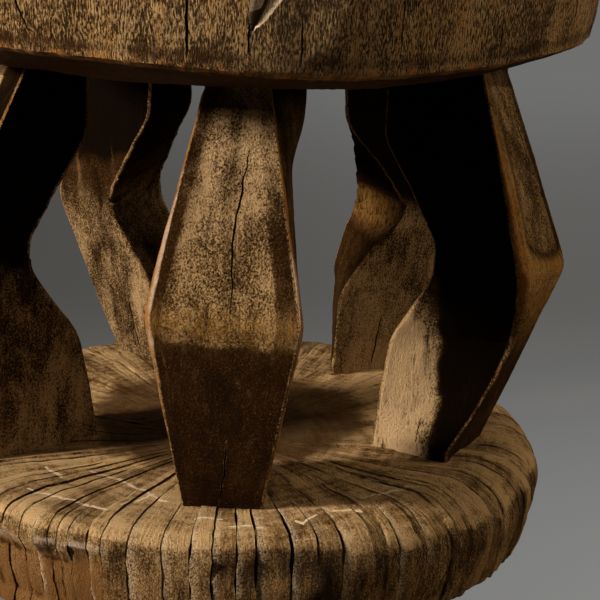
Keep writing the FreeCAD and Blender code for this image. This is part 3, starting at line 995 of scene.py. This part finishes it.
def seat_section(seat):
    """Half section of the seat, from the middle of its underside to the middle of its top."""
    flat = seat.radius - seat.bow_width
    arris = seat.radius - seat.arris_inset
    section = [(0.002, seat.low), (flat * 0.5, seat.low), (flat, seat.low)]
    for step in range(1, 21):
        share = step / 20
        section.append((flat + (arris - flat) * share, seat.low + seat.arris_rise * share ** 2))
    side_top = seat.high - seat.rim_round
    for step in range(1, 27):
        share = step / 26
        section.append((arris + seat.arris_inset * math.sin(math.pi / 2 * share),
                        seat.low + seat.arris_rise + (side_top - seat.low - seat.arris_rise) * share))
    for step in range(1, 7):
        turn = math.pi / 2 * step / 6
        section.append((seat.radius - seat.rim_round * (1 - math.cos(turn)),
                        side_top + seat.rim_round * math.sin(turn)))
    hollow = seat.radius - seat.rim_round - seat.rim_width
    for share in np.linspace(1, 0.012, 20):
        section.append((hollow * share, seat.high - seat.dish_depth * (1 - share ** 2)))
    return section


def seat_stations(seat, turn, end_turn, high, low):
    """Stations down the rim, from one place to another."""
    stations = []
    count = max(int((high - low) / 3), 4)
    for step in range(count + 1):
        share = step / count
        way = turn + (end_turn - turn) * share
        place = rim_point(way, seat.radius - 0.0015)
        place.z = (high + (low - high) * share) * MM
        stations.append((place, rim_point(way, 1)))
    return stations


def seat_crack(seat, turn, high, low, width, depth, slant=0.0):
    """A crack in the rim, upright or slanting by some degrees."""
    return crack_line(seat_stations(seat, turn, turn + slant, high, low), width, depth, ragged=0.6 * MM)


def seat_gash(seat):
    """A pale three-cornered gash that runs down from the rim's top to a point."""
    stations = seat_stations(seat, 4.9, 1.9, 318, 293)
    last = len(stations) - 1
    line = []
    for step, (place, outward) in enumerate(stations):
        share = 1 - step / last
        line.append((place, outward, (0.3 + 4.6 * share) * MM, (0.4 + 1.4 * share) * MM, 0.3 * MM))
    return line


class STOOL_OT_seat(bpy.types.Operator):
    """Carve the round seat"""

    bl_idname = "stool.seat"
    bl_label = "Carve Seat"
    spokes = 900
    # Rings of the section: the lower arris, the rounding of the rim and the rim's top
    arris_ring, round_ring, top_ring = 22, 52, 54

    def execute(self, context):
        seat = settings().seat
        section = seat_section(seat)
        piece = turned_blank("seat_disc", self.spokes, (len(section) - 2,))
        ring, _ = hew(piece, self.places(seat, section))
        carve(piece, relief("seat_lumps", 0.06), 0.0030, middle=0.55)
        carve(piece, scallops("seat_dressing", 0.022), 0.0012, (1, 1, 1.6), middle=0.3)
        carve(piece, relief("seat_grit", 0.004, 3), 0.0009, (1, 1, 2.5))
        for name, values in self.marks(ring).items():
            keep_values(piece, name, values)
        split_wood(piece, [seat_crack(seat, *crack) for crack in self.cracks()], [seat_gash(seat)])
        finish_piece(piece, seat_wood(), 8, 50)
        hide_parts("seat")
        return {"FINISHED"}

    @staticmethod
    def cracks():
        """The cracks that show in front, and more round the rest of the rim."""
        cracks = list(SEAT_CRACKS)
        chance = random.Random(settings().seed)
        for turn in range(58, 326, 17):
            low = chance.uniform(280, 295)
            cracks.append((turn + chance.uniform(-5, 5), low + chance.uniform(10, 20), low,
                           chance.uniform(0.6, 1.4), 6))
        return cracks

    def places(self, seat, section):
        """Where each point of the seat lies: the lower arris wanders up and down round the rim."""
        turn = np.arange(self.spokes) / self.spokes * 2 * math.pi
        radius, level = (np.array(column)[:, None] for column in zip(*section))
        front = turn + math.pi / 2
        wave = np.cos(2 * (front - math.radians(22))) + 0.7 * np.cos(4 * (front - math.radians(20)))
        share = ramp(seat.radius - seat.bow_width, seat.radius - seat.arris_inset, radius)
        share = share * ramp(seat.high - 0.02, seat.low + seat.arris_rise, level)
        places = np.zeros((len(section), self.spokes, 3))
        places[:, :, 0] = radius * np.cos(turn)
        places[:, :, 1] = radius * np.sin(turn)
        places[:, :, 2] = level - wave * share * seat.arris_wave
        return places

    def marks(self, ring):
        """Black underneath, worn along the lower arris and on the rim's top."""
        arris = self.arris_ring
        under = (ring < arris - 1) * 1.0
        worn = 0.55 * bell(ring - arris - 0.5, 1.1) + 0.5 * bell(ring - self.round_ring, 2.5)
        sooty = 0.42 * bell(ring - arris - 3.5, 3.0)
        return {"stain": 0.16 * (ring < self.top_ring) + 1.1 * under + sooty, "worn": worn}


def along(stops, level):
    """Values between stops, level beyond the ends."""
    return np.interp(level, [stop[0] for stop in stops], [stop[1] for stop in stops])


def soft_ridge(stops, level, soft):
    """Two slopes that rise to a ridge and fall again, with the ridge worn down."""
    (low, first), (ridge, top), (high, last) = stops
    rising = top + (level - ridge) * (top - first) / (ridge - low)
    falling = top + (level - ridge) * (last - top) / (high - ridge)
    return -soft * np.log(np.exp(-rising / soft) + np.exp(-falling / soft))


def leg_outer(leg, legs):
    """Outer edge of a leg at its foot, knee and top."""
    return (0, legs.foot_outer), (legs.knee_height, legs.knee_outer), (legs.clear_height, leg.top_outer)


def leg_width(leg, legs):
    """Width of a leg at its foot, knee and top."""
    return (0, leg.foot_width), (legs.knee_height, leg.knee_width), (legs.clear_height, leg.top_width)


def leg_inner(legs):
    """Inner edge of a leg from its foot to its top."""
    return ((0, legs.foot_inner), (legs.heel_height, legs.heel_inner), (legs.bend_bottom, legs.bend_inner),
            (legs.bend_top, legs.bend_inner), (legs.neck_height, legs.neck_inner),
            (legs.clear_height, legs.top_inner))


def leg_place(leg):
    """Where a leg's own frame stands: turned to its face, shifted sideways, leaned."""
    turn = Matrix.Rotation(leg.face - math.pi / 2, 4, "Z")
    stand = Matrix.Translation((0, 0, settings().base.high))
    return stand @ turn @ Matrix.Translation((0, leg.shift, 0)) @ Matrix.Rotation(-leg.lean, 4, "X")


def crack_stations(spots, place_at, outward):
    """Stations every few millimetres through a list of spots."""
    stations = []
    for number, ((first, level), (next_first, next_level)) in enumerate(zip(spots, spots[1:])):
        count = max(int(abs(next_level - level) / 1.8), 1)
        for step in range(0 if number == 0 else 1, count + 1):
            share = step / count
            across = (first + (next_first - first) * share) * MM
            height = (level + (next_level - level) * share) * MM
            stations.append((place_at(across, height), outward))
    return stations


def outer_crack(leg, legs, spots, width, depth):
    """A crack on a leg's outer face, through (sideways, level) spots in millimetres."""
    stops = leg_outer(leg, legs)
    above = spots[0][1] * MM > legs.knee_height - 0.012
    rise = legs.clear_height - legs.knee_height if above else legs.knee_height
    fall = legs.knee_outer - leg.top_outer if above else legs.foot_outer - legs.knee_outer
    outward = Vector((rise, 0, fall)).normalized()

    def place_at(side, level):
        return Vector((along(stops, level) - 0.0008, side, level))

    return crack_line(crack_stations(spots, place_at, outward), width, depth, ragged=0.9 * MM)


def flank_crack(leg, legs, side, spots, width, depth):
    """A crack on a leg's flank, through (distance from the axis, level) spots in millimetres."""
    stops = leg_width(leg, legs)

    def place_at(reach, level):
        return Vector((reach, side * (along(stops, level) / 2 - 0.0008), level))

    return crack_line(crack_stations(spots, place_at, Vector((0, side, 0))), width, depth, ragged=0.5 * MM)


class STOOL_OT_legs(bpy.types.Operator):
    """Carve the knee-bent legs"""

    bl_idname = "stool.legs"
    bl_label = "Carve Legs"
    # Points along the outer face, an outer arris, a flank, an inner arris and the inner face
    face_points, arris_points, flank_points, inner_arris_points, inner_points = 62, 4, 46, 3, 44
    # Two rounds of cuts through the blank, and the rings that they leave
    cuts, rings = (95, 1), 193

    def execute(self, context):
        legs = settings().legs
        material = leg_wood()
        for number, leg in enumerate(settings().leg):
            places, marks = self.places(leg, legs, number)
            piece = turned_blank(leg.name + "_carved", places.shape[1], self.cuts)
            ring, spoke = hew(piece, places)
            for name, values in marks.items():
                keep_values(piece, name, values[ring, spoke])
            self.tool_marks(piece, legs)
            split_wood(piece, self.cracks(leg, legs, number))
            piece.matrix_world = leg_place(leg)
            select_only(piece)
            bpy.ops.object.transform_apply()
            finish_piece(piece, material, 8, 50)
            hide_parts(leg.name)
        return {"FINISHED"}

    def places(self, leg, legs, number):
        """Where each point of a leg lies in the leg's own frame, and its marks for the finish."""
        levels = np.linspace(-legs.foot_depth, legs.clear_height + legs.top_depth, self.rings)
        held = np.clip(levels, 0, legs.clear_height)
        outer = soft_ridge(leg_outer(leg, legs), held, legs.knee_soft)
        half = soft_ridge(leg_width(leg, legs), held, 2 * legs.knee_soft) / 2
        inner = along(leg_inner(legs), held)
        inner = np.convolve(np.pad(inner, 4, mode="edge"), np.ones(9) / 9, mode="valid")
        near_knee = bell(held - legs.knee_height + 0.004, 0.042)
        left = legs.thin_arris + (leg.near_arris - legs.thin_arris) * near_knee
        right = legs.thin_arris + (leg.far_arris - legs.thin_arris) * near_knee
        small = np.full_like(left, legs.inner_arris)
        back = half + leg.flare * ramp(legs.neck_height - 0.01, legs.clear_height, held)
        back -= leg.back_narrow * (0.5 * ramp(0.185, 0.160, held) + 0.5 * ramp(0.115, 0.085, held))
        near = -half
        if leg.name == "leg_right":
            near = near + columns_at(PARINGS, held)[0]
        skew = leg.twist * ramp(0.08, 0.0, held)
        swell = np.interp(held, (0, legs.knee_height, legs.clear_height), (0, 1, 0)) ** 1.3
        far = half + leg.knee_swell * swell
        near_inner, far_inner, far_outer = inner, inner, outer
        if leg.name == "leg_left":
            inner_out, inner_side, outer_out, outer_side = columns_at(SPLAYED, held)
            far_inner, back = inner + inner_out, back + inner_side
            far_outer, far = outer + outer_out, far + outer_side
        if leg.name == "leg_rear_right":
            near_out, far_out = columns_at(ASKEW, held)
            near_inner, far_inner = inner + near_out, inner + far_out
        corners = [(outer + skew, near + left), (far_outer - skew, far - right),
                   (far_outer - skew - right, far), (far_inner + small, back), (far_inner, back - small),
                   (near_inner, small - half), (near_inner + small, -half), (outer + skew - left, near)]
        counts = (self.face_points, self.arris_points, self.flank_points, self.inner_arris_points,
                  self.inner_points, self.inner_arris_points, self.flank_points, self.arris_points)
        columns, part, across = [], [], []
        for side, count in enumerate(counts):
            (first_out, first_side), (last_out, last_side) = corners[side], corners[(side + 1) % 8]
            for step in range(count):
                share = step / count
                out_share, side_share = share, share
                if side in (1, 5):
                    out_share, side_share = 1 - math.cos(share * math.pi / 2), math.sin(share * math.pi / 2)
                if side in (3, 7):
                    out_share, side_share = math.sin(share * math.pi / 2), 1 - math.cos(share * math.pi / 2)
                columns.append((first_out + (last_out - first_out) * out_share,
                                first_side + (last_side - first_side) * side_share))
                part.append(side)
                across.append(share)
        places = np.empty((len(levels), len(columns), 3))
        for column, (out, side) in enumerate(columns):
            places[:, column, 0] = out
            places[:, column, 1] = side
            places[:, column, 2] = levels
        self.chop(places, np.array(part), leg, number)
        return places, self.marks(places, np.array(part), np.array(across), half, leg, legs)

    @staticmethod
    def chop(places, part, leg, number):
        """Leave ledges in the inner bend, where the wood was chopped out across the grain."""
        level, side = places[:, :, 2], places[:, :, 1]
        inside = np.isin(part, (3, 4, 5)) * 1.0
        ledge = (level + 0.35 * side + 0.004 * lumps(places, 0.012, number + 1)) / 0.0085
        tooth = ledge - np.floor(ledge)
        uneven = 0.55 + 0.6 * lumps(places, 0.010, number + 5)
        bend = ramp(0.090, 0.102, level) * ramp(0.158, 0.140, level)
        places[:, :, 0] += leg.chop * inside * bend * uneven * (1 - tooth) ** 0.7

    @staticmethod
    def marks(places, part, across, half, leg, legs):
        """Worn arrises with painted highlights, dark faces below the knee, upper flanks painted black as
        smoke-black wood and as painted shade of the seat and the other legs, bare heels and inner faces.
        """
        reach, side, level = places[:, :, 0], places[:, :, 1], places[:, :, 2]
        from_arris = half[:, None] - np.abs(side)
        face, flank, inside = part == 0, (part == 2) | (part == 6), part == 4
        round_off = np.sin(across * math.pi) ** 0.5
        arris = ((part == 1) | (part == 7)) * round_off
        inner_arris = ((part == 3) | (part == 5)) * round_off
        ragged = 0.003 * lumps(places, 0.012, 3)
        below = ramp(legs.knee_height - 0.009, legs.knee_height - 0.015, level + ragged)
        at_knee = bell(level - legs.knee_height + 0.003, 0.008)
        near_knee = bell(level - legs.knee_height - 0.020, 0.042)
        worn = arris[None] * (0.70 + 0.25 * near_knee - 0.22 * below) + inner_arris[None] * 0.32
        warm = face * at_knee * 0.55
        rubbed = ramp(0.25, 0.75, np.where(part == 7, across, 1 - across))
        # Shine: the rounded outer arrises near the knee, painted pale as a highlight as well as made
        # glossier.
        shine = arris[None] * rubbed[None] * near_knee
        band = ramp(0.0085, 0.0050, from_arris) * np.maximum(near_knee, 0.4)
        heel = ramp(0.138, 0.106, reach) * ramp(0.105, 0.045, level)
        # Flanks are painted black above the line, partly smoke-black wood and partly painted shade; below it
        # the leg's share darkens them, also partly painted shade.
        black = ramp(leg.soot - 0.012, leg.soot + 0.025, level + 2 * ragged + 0.2 * (reach - 0.130))
        under = ramp(0.098, 0.150, level)
        low_flank = leg.dark * (1 - heel * min(leg.bare + 0.1, 1))
        stain = face * (0.10 + 0.9 * band + 1.05 * below) + inside * (0.3 + 0.9 * under)
        stain = stain + flank * np.maximum(1.5 * black, low_flank)
        soot = flank * 1.3 * black + inside * under * 0.8
        stain = np.where(level > legs.clear_height - 0.008, np.maximum(stain, 0.7), stain)
        bare = flank * (1 - black) * leg.bare * np.maximum(heel, 1 - leg.dark) + inside * (1 - under) * 0.6
        if leg.name == "leg_front":
            streak = bell(side - 0.001, 0.004) * ramp(0.120, 0.165, level)
            smudge = bell(side - 0.006, 0.006) * bell(level - 0.124, 0.010)
            stain = stain + face * (0.38 * streak * ramp(0.203, 0.188, level) + 0.35 * smudge)
            # The front leg's face is made lighter towards its top.
            bare = bare + face * 0.55 * ramp(0.125, 0.180, level) * (1 - band)
            left_edge = ramp(0.017, 0.006, half[:, None] + side) * ramp(0.080, 0.095, level)
            stain = stain + face * 0.4 * left_edge
        if leg.name == "leg_right":
            strip = half[:, None] + side
            end = 0.107 + 9 * (side - 0.008) ** 2
            patch = ramp(0.007, 0.014, strip) * ramp(end - 0.003, end + 0.004, level)
            edge = bell(strip - 0.0105, 0.0022) * ramp(0.200, 0.175, level) * (level > end)
            edge = np.maximum(edge, bell(level - end - 0.002, 0.003) * (strip > 0.0105))
            stain = stain + face * (0.22 * patch * ramp(0.185, 0.150, level) + 0.75 * edge)
            warm = warm + face * (1 - patch) * ramp(0.200, 0.130, level) * ramp(0.050, 0.092, level)
            shine = shine * 0.25
            # The outer half of this near flank lies in the front leg's shadow: it is painted black there, a
            # painted shadow.
            front_leg_shadow = ramp(0.118, 0.127, reach + ragged - 0.05 * np.maximum(0.04 - level, 0))
            stain = np.where(part == 6, np.maximum(stain, 1.5 * front_leg_shadow), stain)
            soot = np.where(part == 6, np.maximum(soot, 0.85 * front_leg_shadow), soot)
            bare = np.where(part == 6, 1.5 * bare * (1 - front_leg_shadow), bare)
            stain = np.where(part == 6, stain - 0.5 * bare, stain)
        if leg.name == "leg_rear_left":
            # The upper flank is painted darker and black: painted shade of the left leg and the seat, partly
            # smoke-black wood.
            stain = stain + inside * 0.35 + flank * 0.8 * ramp(0.090, 0.130, level)
            soot = soot + flank * 0.8 * ramp(0.118, 0.150, level + 2 * ragged)
            bare = np.where(inside, 0.25, bare * ramp(0.130, 0.090, level))
        if leg.name == "leg_rear_right":
            stain = stain + inside * (0.3 + 0.5 * ramp(0.104, 0.090, level))
            stain = stain + inside * 0.5 * ramp(0.106, 0.124, level + 2 * ragged)
            soot = soot + inside * 0.5 * ramp(0.112, 0.130, level + 2 * ragged)
            bare = np.where(inside, 0.05, bare)
            warm = warm + inside * 0.8 * ramp(0.088, 0.100, level) * ramp(0.118, 0.110, level)
        if leg.name == "leg_left":
            near_half = ramp(-0.006, 0.0, side) * ramp(0.12, 0.15, level)
            stain = stain + face * near_half * 0.9
            soot = soot + face * near_half * 0.6
            bare = bare + face * (1 - near_half) * 0.7 * ramp(0.12, 0.15, level)
        return {"worn": worn, "shine": shine, "stain": stain, "soot": soot, "warm": np.clip(warm, 0, 1),
                "bare": np.clip(bare, 0, 1)}

    @staticmethod
    def tool_marks(piece, legs):
        """Uneven faces all over, but for the housed ends."""
        level, top = points_of(piece)[:, 2], legs.clear_height
        open_wood = ramp(-0.001, 0.004, level) * ramp(top + 0.001, top - 0.004, level)
        faces = point_group(piece, "faces", open_wood)
        carve(piece, relief("leg_lumps", 0.045), 0.0018, (1, 1, 1.5), faces)
        carve(piece, scallops("leg_dressing", 0.018), 0.0008, (1, 1, 1.8), faces, 0.3)
        carve(piece, relief("leg_grit", 0.004, 3), 0.0004, (1, 1, 1.5), faces)
        piece.vertex_groups.clear()

    @staticmethod
    def cracks(leg, legs, number):
        """Drying cracks of one leg."""
        if leg.name == "leg_front":
            return [
                outer_crack(leg, legs, [(7.9, 179), (5.2, 154), (3.9, 143), (5.0, 126), (5.9, 105)], 0.8, 7),
                outer_crack(leg, legs, [(2.8, 40), (1.4, 22), (-1.3, 4)], 0.8, 5),
            ]
        if leg.name == "leg_right":
            return [flank_crack(leg, legs, -1, [(117, 46), (116, 24), (116, 4)], 0.9, 6),
                    outer_crack(leg, legs, [(12, 186), (14, 150)], 0.9, 5)]
        chance = random.Random(settings().seed + number)
        side = chance.uniform(-8, 8)
        return [outer_crack(leg, legs, [(side, 170), (side + 2, 130)], 1.2, 7),
                outer_crack(leg, legs, [(-side, 60), (-side - 1, 8)], 1.0, 6),
                flank_crack(leg, legs, 1, [(118, 44), (115, 8)], 0.9, 6),
                flank_crack(leg, legs, -1, [(117, 40), (116, 6)], 0.9, 6)]


# Stage

CAMERA_PLACE = (0.0, -0.8642, 0.3628)
CAMERA_YAW, CAMERA_PITCH, CAMERA_ROLL = 0.044, 0.269, 0.029
PHOTO_SIDE = 600
FOCAL_PIXELS = 1597.5
FLOOR_SIDE, BACKDROP_HEIGHT, BACKDROP_BEND = 8, 4, 1.5

# Soft square lamps: degrees to the left of the camera and over the floor, distance, side, power, tint
LAMPS = {
    "key_light": (70, 23, 2.6, 0.34, 140, (1.0, 0.94, 0.85)),
    "front_fill": (-20, 42, 2.6, 1.6, 1.6, (1.0, 0.86, 0.66)),
    "right_fill": (-92, 24, 2.4, 1.2, 30, (1.0, 0.86, 0.64)),
}
LAMP_AIM = Vector((0, 0, 0.16))


def paper_material():
    """Paper for the floor: it glows grey to the camera with painted light, brighter in front and to the
    right, shows a soft shadow, and is warm to the light.
    """
    material = bpy.data.materials.new("floor_paper")
    material.use_nodes = True
    material.node_tree.nodes.clear()
    shading = Shading(material.node_tree)
    paper = shading.add("ShaderNodeBsdfPrincipled", {"Base Color": (0.10, 0.08, 0.055, 1), "Roughness": 0.9})
    place = shading.add("ShaderNodeSeparateXYZ", {0: shading.add("ShaderNodeTexCoord").outputs["Object"]})
    # Painted light on the glow: brightest in front, a little brighter far back, darker to the left.
    near = shading.between(place.outputs["Y"], 0.5, -0.2)
    far = shading.between(place.outputs["Y"], 0.5, 2.0)
    tone = shading.plus(shading.times(near, 0.140), shading.times(far, 0.055), 0.100)
    from_left = shading.between(place.outputs["X"], -0.35, 0.35)
    tone = shading.times(tone, shading.plus(shading.times(from_left, 0.5), 0.6))
    blue = shading.times(tone, 0.97)
    glow = shading.add("ShaderNodeCombineColor", {"Red": tone, "Green": tone, "Blue": blue})
    camera_glow = shading.add("ShaderNodeEmission", {"Color": glow.outputs[0]})
    path = shading.add("ShaderNodeLightPath")
    share = shading.times(path.outputs["Is Camera Ray"], 0.9)
    both = shading.add("ShaderNodeMixShader", {0: share, 1: paper.outputs[0], 2: camera_glow.outputs[0]})
    shading.add("ShaderNodeOutputMaterial", {"Surface": both.outputs[0]})
    return material


class STOOL_OT_stage(bpy.types.Operator):
    """Set up the floor, the lights and the camera"""

    bl_idname = "stool.stage"
    bl_label = "Set Stage"

    def execute(self, context):
        self.floor()
        self.camera(context)
        for name, values in LAMPS.items():
            self.lamp(name, *values)
        world = bpy.data.worlds.new("studio")
        context.scene.world = world
        world.use_nodes = True
        shading = Shading(world.node_tree)
        seen = shading.times(shading.add("ShaderNodeLightPath").outputs["Is Camera Ray"], 0.10)
        shading.fill(world.node_tree.nodes["Background"],
                     {"Color": (1.0, 1.0, 1.0, 1.0), "Strength": shading.plus(seen, 0.005)})
        context.scene.view_settings.view_transform = "Standard"
        return {"FINISHED"}

    @staticmethod
    def floor():
        """A paper floor that curves up into a backdrop behind."""
        def add_plane():
            bpy.ops.mesh.primitive_plane_add(size=FLOOR_SIDE, location=(0, 0, 0))

        def at_back(first, second):
            return min(first.y, second.y) > FLOOR_SIDE / 2 - 0.1

        floor = start_mesh("floor", add_plane)
        select_edges(floor, at_back)
        bpy.ops.mesh.extrude_region_move(TRANSFORM_OT_translate={"value": (0, 0, BACKDROP_HEIGHT)})
        select_edges(floor, lambda first, second: at_back(first, second) and max(first.z, second.z) < 0.1)
        bpy.ops.mesh.bevel(offset=BACKDROP_BEND, segments=12, affect="EDGES")
        close_mesh()
        bpy.ops.object.shade_smooth()
        floor.data.materials.append(paper_material())

    @staticmethod
    def camera(context):
        """The photograph's camera: a long lens a little above the seat, looking down."""
        data = bpy.data.cameras.new("camera")
        data.sensor_width = 36.0
        data.lens = FOCAL_PIXELS / PHOTO_SIDE * data.sensor_width
        camera = bpy.data.objects.new("camera", data)
        context.scene.collection.objects.link(camera)
        level = math.cos(CAMERA_PITCH)
        forward = Vector((math.sin(CAMERA_YAW) * level, math.cos(CAMERA_YAW) * level,
                          -math.sin(CAMERA_PITCH)))
        right = Vector((math.cos(CAMERA_YAW), -math.sin(CAMERA_YAW), 0))
        up = right.cross(forward)
        rolled = right * math.cos(CAMERA_ROLL) + up * math.sin(CAMERA_ROLL)
        camera.matrix_world = Matrix.Translation(CAMERA_PLACE) @ Matrix(
            (rolled, rolled.cross(forward), -forward)).transposed().to_4x4()
        context.scene.camera = camera

    @staticmethod
    def lamp(name, left, height, distance, size, power, tint):
        """A soft square lamp, placed by degrees to the left of the camera and over the floor."""
        turn, rise = math.radians(left), math.radians(height)
        way = Vector((-math.sin(turn) * math.cos(rise), -math.cos(turn) * math.cos(rise), math.sin(rise)))
        data = bpy.data.lights.new(name, "AREA")
        data.size = size
        data.energy = power
        data.color = tint
        lamp = bpy.data.objects.new(name, data)
        bpy.context.scene.collection.objects.link(lamp)
        lamp.rotation_mode = "QUATERNION"
        lamp.location = LAMP_AIM + way * distance
        lamp.rotation_quaternion = way.to_track_quat("Z", "Y")


class STOOL_PT_panel(bpy.types.Panel):
    """Sidebar panel with the stool's sizes, finish and steps"""

    bl_idname = "STOOL_PT_panel"
    bl_label = "Carved Stool"
    bl_space_type = "VIEW_3D"
    bl_region_type = "UI"
    bl_category = "Stool"

    def draw(self, context):
        stool = context.scene.stool
        for part in (stool.seat, stool.base, stool.legs, stool.finish, *stool.leg):
            box = self.layout.box()
            for key in part.bl_rna.properties.keys():
                if key not in ("rna_type", "name"):
                    box.prop(part, key)
        self.layout.prop(stool, "seed")
        for step in STEPS:
            self.layout.operator(step.bl_idname)


STEPS = (STOOL_OT_stage, STOOL_OT_base, STOOL_OT_legs, STOOL_OT_seat)
CLASSES = (StoolSeat, StoolBase, StoolLeg, StoolLegs, StoolFinish, StoolSettings, *STEPS, STOOL_PT_panel)


def register():
    """Register the classes and give the scene its settings."""
    for item in CLASSES:
        bpy.utils.register_class(item)
    bpy.types.Scene.stool = PointerProperty(type=StoolSettings, name="Stool",
                                            description="Settings of the stool")


def unregister():
    """Take the settings and the classes away again."""
    del bpy.types.Scene.stool
    for item in reversed(CLASSES):
        bpy.utils.unregister_class(item)


def main():
    """Build the stool."""
    register()
    set_out_legs()
    log_grain_group()
    rubbed_edge_group()
    score_line_group()
    bpy.ops.stool.stage()
    bpy.ops.stool.base()
    bpy.ops.stool.legs()
    bpy.ops.stool.seat()
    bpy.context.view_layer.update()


if __name__ == "__main__":
    main()
